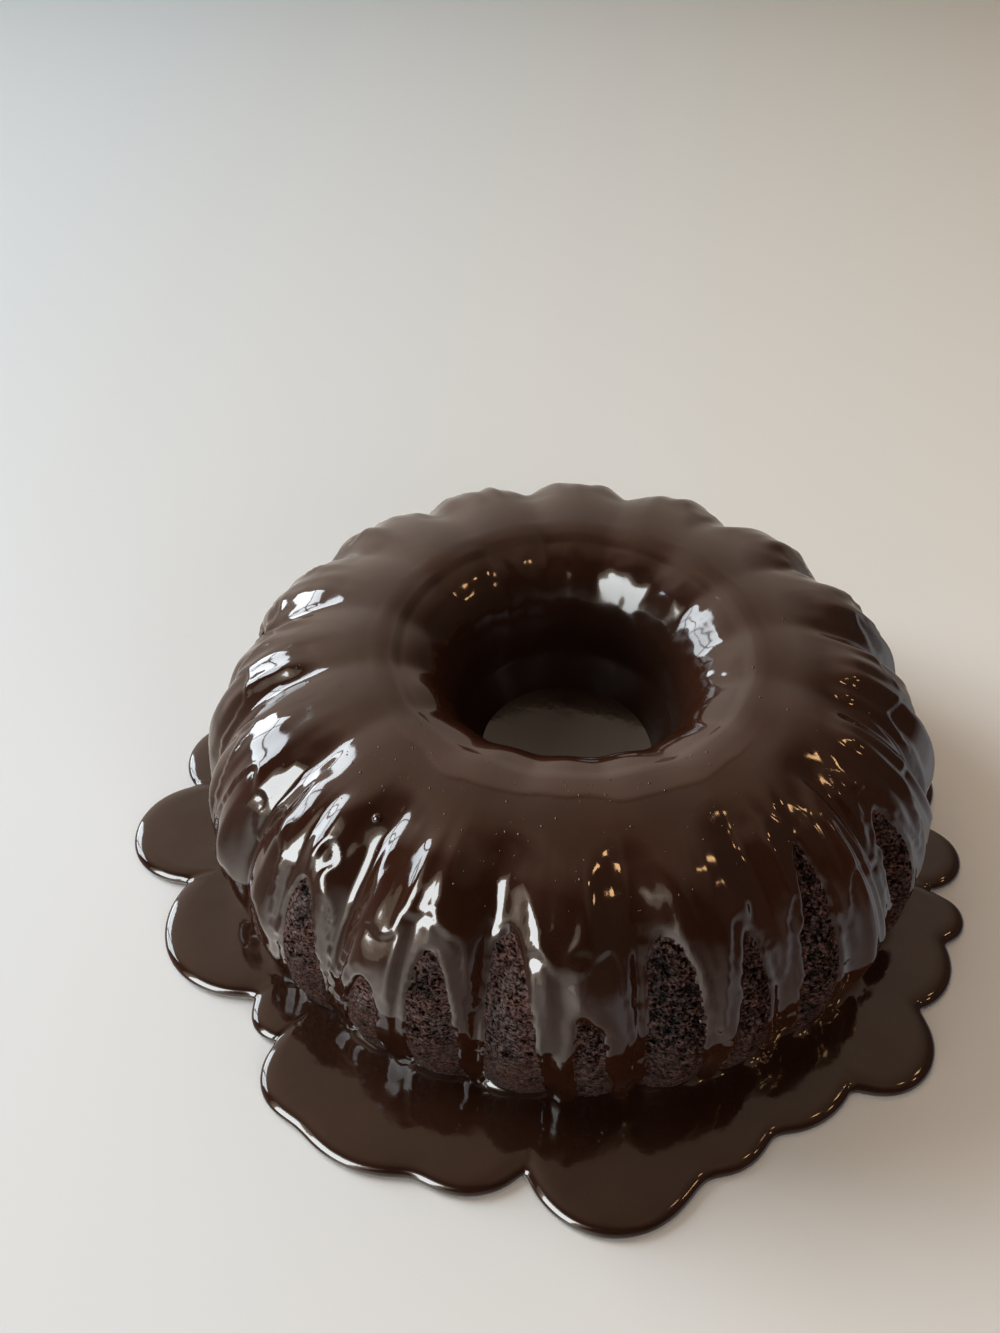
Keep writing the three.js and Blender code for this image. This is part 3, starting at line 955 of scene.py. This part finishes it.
    def crumb_relief(self, ring, angles, stations, crumb, torn):
        """How far the bare crumb stands out or is sunk, and how far each point is into a pore, a crack and
        the gap under the glaze edge; this share also sets painted shade in the crumb's colour.
        """
        cover = ring.glaze_cover(angles, stations)
        bare = smoothstep(-cover, *self.bare_edge)
        bare[stations[:, 0] > self.bare_top] = 0
        places = ring.points(angles, stations)
        above_band = places[..., 2] - crumb.band_height / MM
        flattened = places * (1, 1, self.flattening)
        clumps = sum(
            far * np.abs(lattice_noise(flattened, size, seed)) for far, size, seed in self.clump_layers)
        cracked = 1 - smoothstep(clumps, self.crack_start, lerp(*self.crack_width, torn))
        # Gap under the glaze edge, sunk and given painted shade
        gap_and_shade = 0.5 + waver(places, self.gap_shade_waver)
        gap_and_shade = gap_and_shade * (1 - smoothstep(-cover, *self.gap_shade_edge))
        gap_and_shade = gap_and_shade * smoothstep(above_band, 0, self.gap_shade_above_band)
        pores = np.maximum(lerp(*self.crack_share, torn) * cracked, lerp(*self.gap_shade_share, torn) * gap_and_shade)
        self.sink_pores(pores, angles[0], ring.section(stations[:, 0])[1], crumb.seed)
        foot = 1 - smoothstep(above_band, *self.foot_fade)
        calm = (1 - self.foot_calm * foot) * lerp(self.even_calm, 1, torn)
        standing = calm * (waver(places, self.lump_waver) + self.grain_height * (clumps - 0.5))
        sunk = crumb.pore_depth / MM * pores * lerp(1, self.foot_pore_depth, foot)
        return bare * (standing - sunk - self.bare_sunk), bare * pores

    def sink_pores(self, pores, columns_angle, row_height, seed):
        """Adds the drawn pores and the larger pits of every arch."""
        draws = np.random.default_rng(seed)
        grid = pores, columns_angle, row_height
        for lobe, arch_height, half_width, lean in ARCHES:
            torn = self.torn_lobes.get(lobe, self.torn_elsewhere)
            for _ in range(int(arch_height * half_width * lerp(*self.pore_number, torn))):
                up = lerp(self.pore_lowest, 1, draws.random() ** self.pore_height_power) * arch_height
                along = draws.uniform(-half_width, half_width) + lean * (up / arch_height) ** 2
                size = lerp(*self.pore_extra, torn) * draws.random() ** self.pore_size_power
                size = self.pore_least + size
                wide = size * draws.uniform(*self.pore_width)
                tilt = draws.uniform(-self.pore_tilt, self.pore_tilt)
                self.sink_pore(*grid, lobe_middle(lobe), along, up, wide, size, tilt)
        for lobe, along, up, wide, size in self.large_pits:
            tilt = draws.uniform(-self.large_pit_tilt, self.large_pit_tilt)
            self.sink_pore(*grid, lobe_middle(lobe), along, up, wide, size, tilt)

    def sink_pore(self, pores, columns_angle, row_height, middle, along, up, wide, size, tilt):
        """Adds one pore, mostly wider than high, at a place on an arch's lobe."""
        across = np.radians(turn_between(columns_angle, middle)) * self.arch_radius - along
        near_columns = np.flatnonzero(np.abs(across) < 2 * wide)
        near_rows = np.flatnonzero(np.abs(row_height - up) < 2 * size)
        if not len(near_columns) or not len(near_rows):
            return
        across = across[near_columns][None, :]
        rise = (row_height[near_rows] - up)[:, None] - tilt * across
        inside = 1 - np.hypot(across / wide, rise / size)
        sunk = np.clip(inside * self.pore_steepness, 0, 1) * min(1, size / self.pore_full_size)
        window = np.ix_(near_rows, near_columns)
        pores[window] = np.maximum(pores[window], sunk)


class BUNDT_OT_glaze_coat(bpy.types.Operator):
    """Pour the glaze over the crown and down the hole, with runs between the bare arches"""

    bl_idname = "bundt.glaze_coat"
    bl_label = "Glaze Coat"

    front_columns = 24
    back_columns = 15
    front_half_angle = 105
    row_spacing = 0.85
    crown_row_spacing = 1.5
    step_row_spacing = 0.6
    side_top = 1.8
    step_start = 1.9
    step_end = 2.06
    into_pool_share = 0.6
    into_well = 2
    inner = -1.3
    deep_start = (2.3, 2.8)

    def execute(self, context):
        ring = FlutedRing(context.scene.bundt_shape)
        glaze = context.scene.bundt_glaze
        angles = self.column_angles()
        stations = self.row_stations(ring, glaze)
        pour = Pour(ring, glaze)
        film = pour.film(angles, stations)
        outside = ring.points(angles, stations, film)
        inside = ring.points(angles, stations, self.inner)
        points = np.concatenate([outside.reshape(-1, 3), inside.reshape(-1, 3)])
        piece, used = make_piece("glaze_coat_poured", points, self.closed_skin(film), glaze_material(glaze))
        # Painted shade in the hole: this share darkens the glaze there, and also makes it rougher
        deep = np.broadcast_to(smoothstep(stations, *self.deep_start), film.shape).ravel()
        store_share(piece, "deep", np.tile(deep, 2)[used])
        store_share(piece, "soft", np.tile(deep, 2)[used])
        # Painted sheen: the share "dull" of paler glaze on the front of the rim
        store_share(piece, "dull", np.tile(pour.sheen_share(angles, stations).ravel(), 2)[used])
        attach(piece, BODY)
        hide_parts("glaze_coat")
        return {"FINISHED"}

    def column_angles(self):
        """Close columns on the front lobes, wider ones behind."""
        angles = []
        for lobe in range(SIDE_LOBES):
            front = abs(turn_between(lobe_middle(lobe), 0)) < self.front_half_angle
            count = self.front_columns if front else self.back_columns
            angles.extend(GROOVE_ANGLE + (lobe + np.arange(count) / count) * 360 / SIDE_LOBES)
        return np.array(angles)[None, :]

    def row_stations(self, ring, glaze):
        """Rows from inside the pool to inside the well, closest at the step of the second pour."""
        lowest = self.into_pool_share * glaze.pool_thickness / MM / ring.widest_height
        deepest = 4 - (glaze.well_depth / MM - self.into_well) / ring.hole_height
        crown = [
            (self.side_top, self.step_start, self.crown_row_spacing),
            (self.step_start, self.step_end, self.step_row_spacing),
            (self.step_end, deepest, self.crown_row_spacing),
        ]
        rows = [ring.even_stations(lowest, self.side_top, self.row_spacing)]
        rows += [ring.even_stations(*stretch)[1:] for stretch in crown]
        return np.concatenate(rows)[:, None]

    def closed_skin(self, film):
        """Quads of the outer and inner skin where there is glaze, and of the walls that join their edges."""
        rows, columns = film.shape
        above = film > Pour.sunk
        after = np.roll(above, -1, axis=1)
        kept = above[:-1] | above[1:] | after[:-1] | after[1:]
        quads = grid_quads(rows, columns).reshape(rows - 1, columns, 4)
        padded = np.pad(kept, ((1, 1), (0, 0)))
        beside = [padded[:-2], np.roll(kept, -1, axis=1), padded[2:], np.roll(kept, 1, axis=1)]
        skin = quads[kept]
        count = rows * columns
        faces = [skin, skin[:, ::-1] + count]
        for corner, neighbour in enumerate(beside):
            edge = quads[kept & ~neighbour]
            start, end = edge[:, corner], edge[:, (corner + 1) % 4]
            faces.append(np.stack([end, start, start + count, end + count], axis=-1))
        return np.concatenate(faces)


class BUNDT_OT_bubbles(bpy.types.Operator):
    """Raise small bubbles on the glaze of the crown"""

    bl_idname = "bundt.bubbles"
    bl_label = "Bubbles"

    # One larger bubble: angle, station, radius
    large = [(-36.5, 1.74, 1.5)]
    middle_angle = 2
    spread_angle = 42
    stations = (1.62, 2.16)
    least_radius = 0.16
    extra_radius = 0.24
    radius_power = 3
    dome_height_share = 0.8
    corners = 10
    tilts = np.radians([-25, 0, 28, 55, 78])

    def execute(self, context):
        ring = FlutedRing(context.scene.bundt_shape)
        glaze = context.scene.bundt_glaze
        draws = np.random.default_rng(glaze.seed)
        angles = draws.normal(self.middle_angle, self.spread_angle, glaze.bubbles)
        stations = draws.uniform(*self.stations, glaze.bubbles)
        sizes = self.least_radius + self.extra_radius * draws.random(glaze.bubbles) ** self.radius_power
        spots = np.concatenate([np.stack([angles, stations, sizes], axis=-1), self.large])
        angle, station, size = spots.T
        middles = ring.points(angle, station, Pour(ring, glaze).film(angle, station))
        _, _, across, up = ring.section(station)
        points = self.domes(middles, size, polar(across, angle, up), polar(1, angle + 90, 0))
        rows = len(self.tilts)
        firsts = np.arange(len(spots)) * rows * self.corners
        quads = (firsts[:, None, None] + grid_quads(rows, self.corners)).reshape(-1, 4)
        top = np.arange((rows - 1) * self.corners, rows * self.corners)
        bottom = np.arange(self.corners)[::-1]
        caps = [first + cap for first in firsts for cap in (top, bottom)]
        piece, _ = make_piece("glaze_bubbles", points, quads, glaze_material(glaze), caps)
        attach(piece, BODY)
        return {"FINISHED"}

    def domes(self, middles, sizes, outward, sideways):
        """Rings of points of one low dome for each bubble."""
        other = np.cross(outward, sideways)
        turns = np.linspace(0, 2 * np.pi, self.corners, endpoint=False)
        tilt = self.tilts[None, :, None, None]
        round_axis = (
            np.cos(turns)[None, None, :, None] * sideways[:, None, None, :]
            + np.sin(turns)[None, None, :, None] * other[:, None, None, :]
        )
        upward = self.dome_height_share * np.sin(tilt) * outward[:, None, None, :]
        return middles[:, None, None, :] + sizes[:, None, None, None] * (np.cos(tilt) * round_axis + upward)


class BUNDT_OT_glaze_pool(bpy.types.Operator):
    """Gather the glaze in a scalloped pool round the foot"""

    bl_idname = "bundt.glaze_pool"
    bl_label = "Glaze Pool"

    columns = 1080
    foot_overlap = 1.2
    # Share of painted shade that darkens the pool's glaze
    painted_shade_share = 0.6

    # Rounded lip, from the floor up: distance in from the reach, share of the thickness
    lip = [
        (1.0, 0), (0.3, 0.1), (0, 0.28), (0.12, 0.46), (0.5, 0.64), (1.2, 0.79), (2.2, 0.9), (3.6, 0.965),
        (5.4, 1),
    ]
    most_stretch = 2.6
    least_width = 2

    # Top, from the lip to the foot of the sponge, where the glaze climbs, most under the runs
    inner_rows = 16
    row_crowding = 1.5
    broad_waver = [(0.18, 13, 51)]
    broad_growth = 1.2
    foot_waver = [(0.07, 5, 52)]
    foot_waver_fade = 9
    climb = 1
    climb_waver = [(0.8, 7, 53)]
    run_climb = 0.9
    climb_fade = 1.7
    run_station = 0.25
    run_edge = (-0.5, 2.5)
    smoothing = 9

    def execute(self, context):
        ring = FlutedRing(context.scene.bundt_shape)
        glaze = context.scene.bundt_glaze
        thickness = glaze.pool_thickness / MM
        angles = np.arange(self.columns) * 360 / self.columns
        foot = ring.foot_radius(angles, thickness) - self.foot_overlap
        lip = self.lip_loops(angles, foot, thickness)
        top = self.top_loops(ring, angles, foot, np.hypot(lip[-1][:, 0], lip[-1][:, 1]), thickness)
        points = np.stack([polar(foot, angles, 0), *lip, *top])
        quads = closed_grid_quads(len(points), self.columns)
        piece, used = make_piece("glaze_pool_poured", points, quads, glaze_material(glaze))
        # Painted shade: the pool's glaze is partly darkened
        store_share(piece, "deep", np.full(len(used), self.painted_shade_share))
        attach(piece, BODY)
        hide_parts("glaze_pool")
        return {"FINISHED"}

    def reach(self, angles):
        """How far the pool reaches at each angle: its round lobes, blended softly where they meet."""
        total = np.ones(angles.shape)
        for lobe_angle, lobe_reach, lobe_radius in POOL_LOBES:
            turn = np.radians(angles - lobe_angle)
            centre = lobe_reach - lobe_radius
            half = lobe_radius ** 2 - (centre * np.sin(turn)) ** 2
            hit = (half > 0) & (np.cos(turn) > 0)
            outer = centre * np.cos(turn) + np.sqrt(np.clip(half, 0, None))
            total += hit * np.exp((outer - POOL_LEAST_REACH) / POOL_BLEND)
        return POOL_LEAST_REACH + POOL_BLEND * np.log(total)

    def lip_loops(self, angles, foot, thickness):
        """Loops of the rounded lip, which keeps its width across the edge where the edge slants."""
        reach = self.reach(angles)
        ends_joined = np.concatenate([reach[-2:], reach, reach[:2]])
        slant = np.gradient(ends_joined, math.radians(360 / self.columns))[2:-2]
        stretch = np.minimum(np.hypot(1, slant / reach), self.most_stretch)
        return [
            polar(np.maximum(reach - inset * stretch, foot + self.least_width), angles, share * thickness)
            for inset, share in self.lip
        ]

    def top_loops(self, ring, angles, foot, rim, thickness):
        """Loops of the top, from the lip to the foot of the sponge."""
        climb = self.climb + waver(polar(foot, angles, 0), self.climb_waver)
        climb = climb + self.run_climb * self.runs(ring, angles)
        loops = []
        for row in range(1, self.inner_rows + 1):
            share = row / self.inner_rows
            radius = lerp(rim, foot, 1 - (1 - share) ** self.row_crowding)
            places = polar(radius, angles, 0)
            from_foot = np.clip(radius - foot - self.foot_overlap, 0, None)
            rise = waver(places, self.broad_waver) * np.sin(np.pi * min(1, share * self.broad_growth) / 2)
            rise = rise + waver(places, self.foot_waver) * np.exp(-from_foot / self.foot_waver_fade)
            rise = rise + climb * np.exp(-from_foot / self.climb_fade)
            loops.append(polar(radius, angles, thickness + rise))
        return loops

    def runs(self, ring, angles):
        """Share of each angle where glaze runs down to the pool, with soft ends."""
        cover = ring.glaze_cover(angles, np.full_like(angles, self.run_station))
        sharp = smoothstep(cover, *self.run_edge)
        steps = range(-self.smoothing, self.smoothing + 1)
        return sum(np.roll(sharp, step) for step in steps) / len(steps)


class BUNDT_OT_glaze_well(bpy.types.Operator):
    """Fill the bottom of the hole with glaze"""

    bl_idname = "bundt.glaze_well"
    bl_label = "Glaze Well"

    columns = 160
    rows = 26
    row_crowding = 1.4
    cap_radius = 1.0
    wall_overlap = 0.5
    foot_gap = 0.4
    wall_climb = 3.0
    top_waver = [(0.1, 12, 61)]

    def execute(self, context):
        ring = FlutedRing(context.scene.bundt_shape)
        glaze = context.scene.bundt_glaze
        depth = glaze.well_depth / MM
        angles = np.arange(self.columns) * 360 / self.columns
        wall = ring.section(4 - depth / ring.hole_height)[0] + self.wall_overlap
        loops = [polar(ring.hole_foot_radius - self.foot_gap, angles, 0)]
        for share in np.linspace(0, 1, self.rows):
            radius = lerp(wall, self.cap_radius, share ** self.row_crowding)
            uneven = waver(polar(radius, angles, 0), self.top_waver) * (1 - share)
            loops.append(polar(radius, angles, depth + self.wall_climb * (radius / wall) ** 2 + uneven))
        underside = np.arange(self.columns)[::-1]
        middle = (len(loops) - 1) * self.columns + np.arange(self.columns)
        quads = grid_quads(len(loops), self.columns)
        caps = [underside, middle]
        piece, used = make_piece("glaze_well_poured", np.stack(loops), quads, glaze_material(glaze), caps)
        # Painted shade: the well's glaze is darkened fully
        store_share(piece, "deep", np.ones(len(used)))
        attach(piece, BODY)
        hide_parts("glaze_well")
        return {"FINISHED"}


class BUNDT_OT_stage(bpy.types.Operator):
    """Set the floor, the lights, the room and the camera"""

    bl_idname = "bundt.stage"
    bl_label = "Stage"

    floor_width = 3.2
    floor_front = -0.85
    bend_start = 0.85
    bend_radius = 0.35
    bend_steps = 13
    wall_top = 0.62

    # Windows of panes: middle, size of a pane, panes across and up, watts
    left_window = {"middle": (-3.5, 1.5, 1.6), "pane": (1.15, 1.15), "panes": (2, 2), "watts": 225}
    front_window = {"middle": (-1.05, -0.95, 0.8), "pane": (0.9, 1.15), "panes": (1, 1), "watts": 52}
    right_fill = {"middle": (0.65, -0.9, 0.55), "pane": (0.5, 0.5), "panes": (1, 1), "watts": 2.6}
    fill_colour = (1, 0.95, 0.88)
    pane_pitch = 1.12
    glow_middle = (-1.1, -1.0, 0.84)
    glow_panes = [
        ("glow_near", (1.05, 1.3), 16), ("glow_middle", (1.25, 1.5), 12), ("glow_far", (1.5, 1.8), 9),
    ]
    lamp_places = [(0.75, -0.1, 1.3), (0.95, 0.2, 1.25), (1.1, -0.2, 1.1)]
    lamp_pane = (0.1, 0.1)
    lamp_watts = 0.45

    # Room that the glaze mirrors, ahead of the cake and behind it: colours by height and from left to right
    depth_way = (0.42, 0.91, 0)
    depth_turn = [(-0.28, grey(0)), (0.06, grey(1))]
    ahead_up = [
        (-0.3, (0.78, 0.73, 0.67)), (0, (0.72, 0.67, 0.61)), (0.15, (0.54, 0.5, 0.45)),
        (0.27, (0.4, 0.365, 0.32)), (0.42, (0.06, 0.05, 0.042)), (1, (0.05, 0.045, 0.04)),
    ]
    ahead_across = [
        (-0.85, grey(0.4)), (-0.6, grey(2.8)), (-0.3, grey(2)), (0, grey(0.85)), (0.3, grey(0.7)),
        (0.68, grey(0.15)),
    ]
    behind_up = [
        (-0.25, (0.5, 0.46, 0.41)), (0, (0.62, 0.54, 0.46)), (0.25, (0.84, 0.73, 0.62)),
        (0.5, (0.97, 0.84, 0.72)), (0.7, (0.87, 0.72, 0.6)), (0.86, (0.68, 0.52, 0.39)),
        (1, (0.5, 0.36, 0.26)),
    ]
    behind_across = [
        (-1, grey(1.4)), (-0.3, grey(1.4)), (0.05, (0.78, 0.75, 0.72)), (0.28, (0.9, 0.83, 0.79)),
        (0.5, (0.42, 0.37, 0.34)), (0.64, (0.16, 0.145, 0.13)), (1, (0.1, 0.09, 0.085)),
    ]
    right_up = [(-0.2, grey(1)), (0.02, grey(0))]
    right_across = [(0.5, grey(0)), (0.8, (0.47, 0.49, 0.52))]

    camera_place = (-0.0004, -0.28295, 0.32964)
    camera_pitch = math.radians(43.5)
    camera_yaw = math.radians(-4.18)
    camera_lens = 35.11
    camera_sensor = 36

    def execute(self, context):
        stage = context.scene.bundt_stage
        self.floor(stage)
        self.lights(stage)
        self.room()
        self.camera(context.scene)
        context.scene.view_settings.view_transform = "Standard"
        return {"FINISHED"}

    def floor(self, stage):
        """A floor that bends up into a wall far behind."""
        profile = [(self.floor_front, 0)]
        for bend in np.radians(np.linspace(0, 90, self.bend_steps)):
            back = self.bend_start + self.bend_radius * math.sin(bend)
            profile.append((back, self.bend_radius * (1 - math.cos(bend))))
        profile.append((self.bend_start + self.bend_radius, self.wall_top))
        half = self.floor_width / 2
        points = [(x, y, z) for y, z in profile for x in (-half, half)]
        quads = [(2 * row, 2 * row + 1, 2 * row + 3, 2 * row + 2) for row in range(len(profile) - 1)]
        mesh = bpy.data.meshes.new("floor")
        mesh.from_pydata(points, [], quads)
        mesh.polygons.foreach_set("use_smooth", [True] * len(quads))
        mesh.materials.append(floor_material(stage))
        floor = bpy.data.objects.new("floor", mesh)
        floor.visible_glossy = False
        bpy.context.scene.collection.objects.link(floor)

    def lights(self, stage):
        """Daylight from the left and front, a warm glow round the front window, and small lamps."""
        self.window("window_left", **self.left_window, colour=stage.window_colour)
        self.window("window_front", **self.front_window, colour=stage.window_colour, diffuse=False)
        for name, pane, watts in self.glow_panes:
            self.window(name, self.glow_middle, pane, (1, 1), watts, stage.cream_colour, diffuse=False)
        self.window("fill_right", **self.right_fill, colour=self.fill_colour, glossy=False)
        for place in self.lamp_places:
            self.window(
                "lamp", place, self.lamp_pane, (1, 1), self.lamp_watts, stage.lamp_colour,
                diffuse=False, shape="DISK")

    def room(self):
        """The world: a plain room, paler on the left, darker overhead, with a cool glow low on the right."""
        world = bpy.data.worlds.new("room")
        world.use_nodes = True
        bench = NodeBench(world.node_tree, "Generated")
        across, deep, up = (
            bench.span(bench.along(way), (-1, 1), (0, 1)) for way in ((1, 0, 0), self.depth_way, (0, 0, 1))
        )
        ahead, behind, right = (
            bench.mix(self.room_ramp(bench, up, high), self.room_ramp(bench, across, wide), kind="MULTIPLY")
            for high, wide in (
                (self.ahead_up, self.ahead_across),
                (self.behind_up, self.behind_across),
                (self.right_up, self.right_across),
            )
        )
        either = bench.mix(ahead, behind, self.room_ramp(bench, deep, self.depth_turn))
        background = world.node_tree.nodes["Background"]
        bench.link(bench.mix(either, right, kind="ADD"), background.inputs["Color"])
        background.inputs["Strength"].default_value = 1
        bpy.context.scene.world = world

    def room_ramp(self, bench, share, stops):
        """Colours of the room along one axis, from -1 to 1."""
        return bench.ramp(share, [((position + 1) / 2, colour) for position, colour in stops])

    def window(
            self, name, middle, pane, panes, watts, colour, diffuse=True, glossy=True, shape="RECTANGLE"):
        """A window of separate panes that faces the cake, or a round lamp, unseen by the camera."""
        middle = Vector(middle)
        turn = (-middle).to_track_quat("-Z", "Y")
        across, high = panes
        for column, row in itertools.product(range(across), range(high)):
            light = bpy.data.lights.new(f"{name}_{column}_{row}", "AREA")
            light.shape = shape
            light.size, light.size_y = pane
            light.energy = watts / (across * high)
            light.color = colour
            aside = (column - (across - 1) / 2) * pane[0] * self.pane_pitch
            above = (row - (high - 1) / 2) * pane[1] * self.pane_pitch
            lit = bpy.data.objects.new(light.name, light)
            lit.location = middle + turn @ Vector((aside, above, 0))
            lit.rotation_mode = "QUATERNION"
            lit.rotation_quaternion = turn
            lit.visible_camera = False
            lit.visible_diffuse = diffuse
            lit.visible_glossy = glossy
            bpy.context.scene.collection.objects.link(lit)

    def camera(self, scene):
        """Looks down on the cake from the front."""
        level = math.cos(self.camera_pitch)
        look = Vector((
            math.sin(self.camera_yaw) * level,
            math.cos(self.camera_yaw) * level,
            -math.sin(self.camera_pitch),
        ))
        data = bpy.data.cameras.new("camera")
        data.sensor_width = self.camera_sensor
        data.lens = self.camera_lens
        camera = bpy.data.objects.new("camera", data)
        camera.location = self.camera_place
        camera.rotation_mode = "QUATERNION"
        camera.rotation_quaternion = look.to_track_quat("-Z", "Y")
        scene.collection.objects.link(camera)
        scene.camera = camera


class BUNDT_PT_panel(bpy.types.Panel):
    """Sizes, colours and steps of the bundt cake"""

    bl_idname = "BUNDT_PT_panel"
    bl_label = "Bundt Cake"
    bl_space_type = "VIEW_3D"
    bl_region_type = "UI"
    bl_category = "Bundt Cake"

    def draw(self, context):
        for group in SETTINGS:
            settings = getattr(context.scene, group)
            box = self.layout.box()
            for name in settings.__annotations__:
                box.prop(settings, name)
        for operator in OPERATORS:
            self.layout.operator(operator.bl_idname)


OPERATORS = (
    BUNDT_OT_sponge,
    BUNDT_OT_glaze_coat,
    BUNDT_OT_bubbles,
    BUNDT_OT_glaze_pool,
    BUNDT_OT_glaze_well,
    BUNDT_OT_stage,
)
SETTINGS = {
    "bundt_shape": BundtShape,
    "bundt_crumb": BundtCrumb,
    "bundt_glaze": BundtGlaze,
    "bundt_stage": BundtStage,
}
CLASSES = (*SETTINGS.values(), *OPERATORS, BUNDT_PT_panel)


def register():
    for cls in CLASSES:
        bpy.utils.register_class(cls)
    for name, settings in SETTINGS.items():
        setattr(bpy.types.Scene, name, PointerProperty(type=settings))


def unregister():
    for name in SETTINGS:
        delattr(bpy.types.Scene, name)
    for cls in reversed(CLASSES):
        bpy.utils.unregister_class(cls)


def main():
    register()
    bpy.ops.bundt.sponge()
    bpy.ops.bundt.glaze_coat()
    bpy.ops.bundt.bubbles()
    bpy.ops.bundt.glaze_pool()
    bpy.ops.bundt.glaze_well()
    bpy.ops.bundt.stage()


if __name__ == "__main__":
    main()
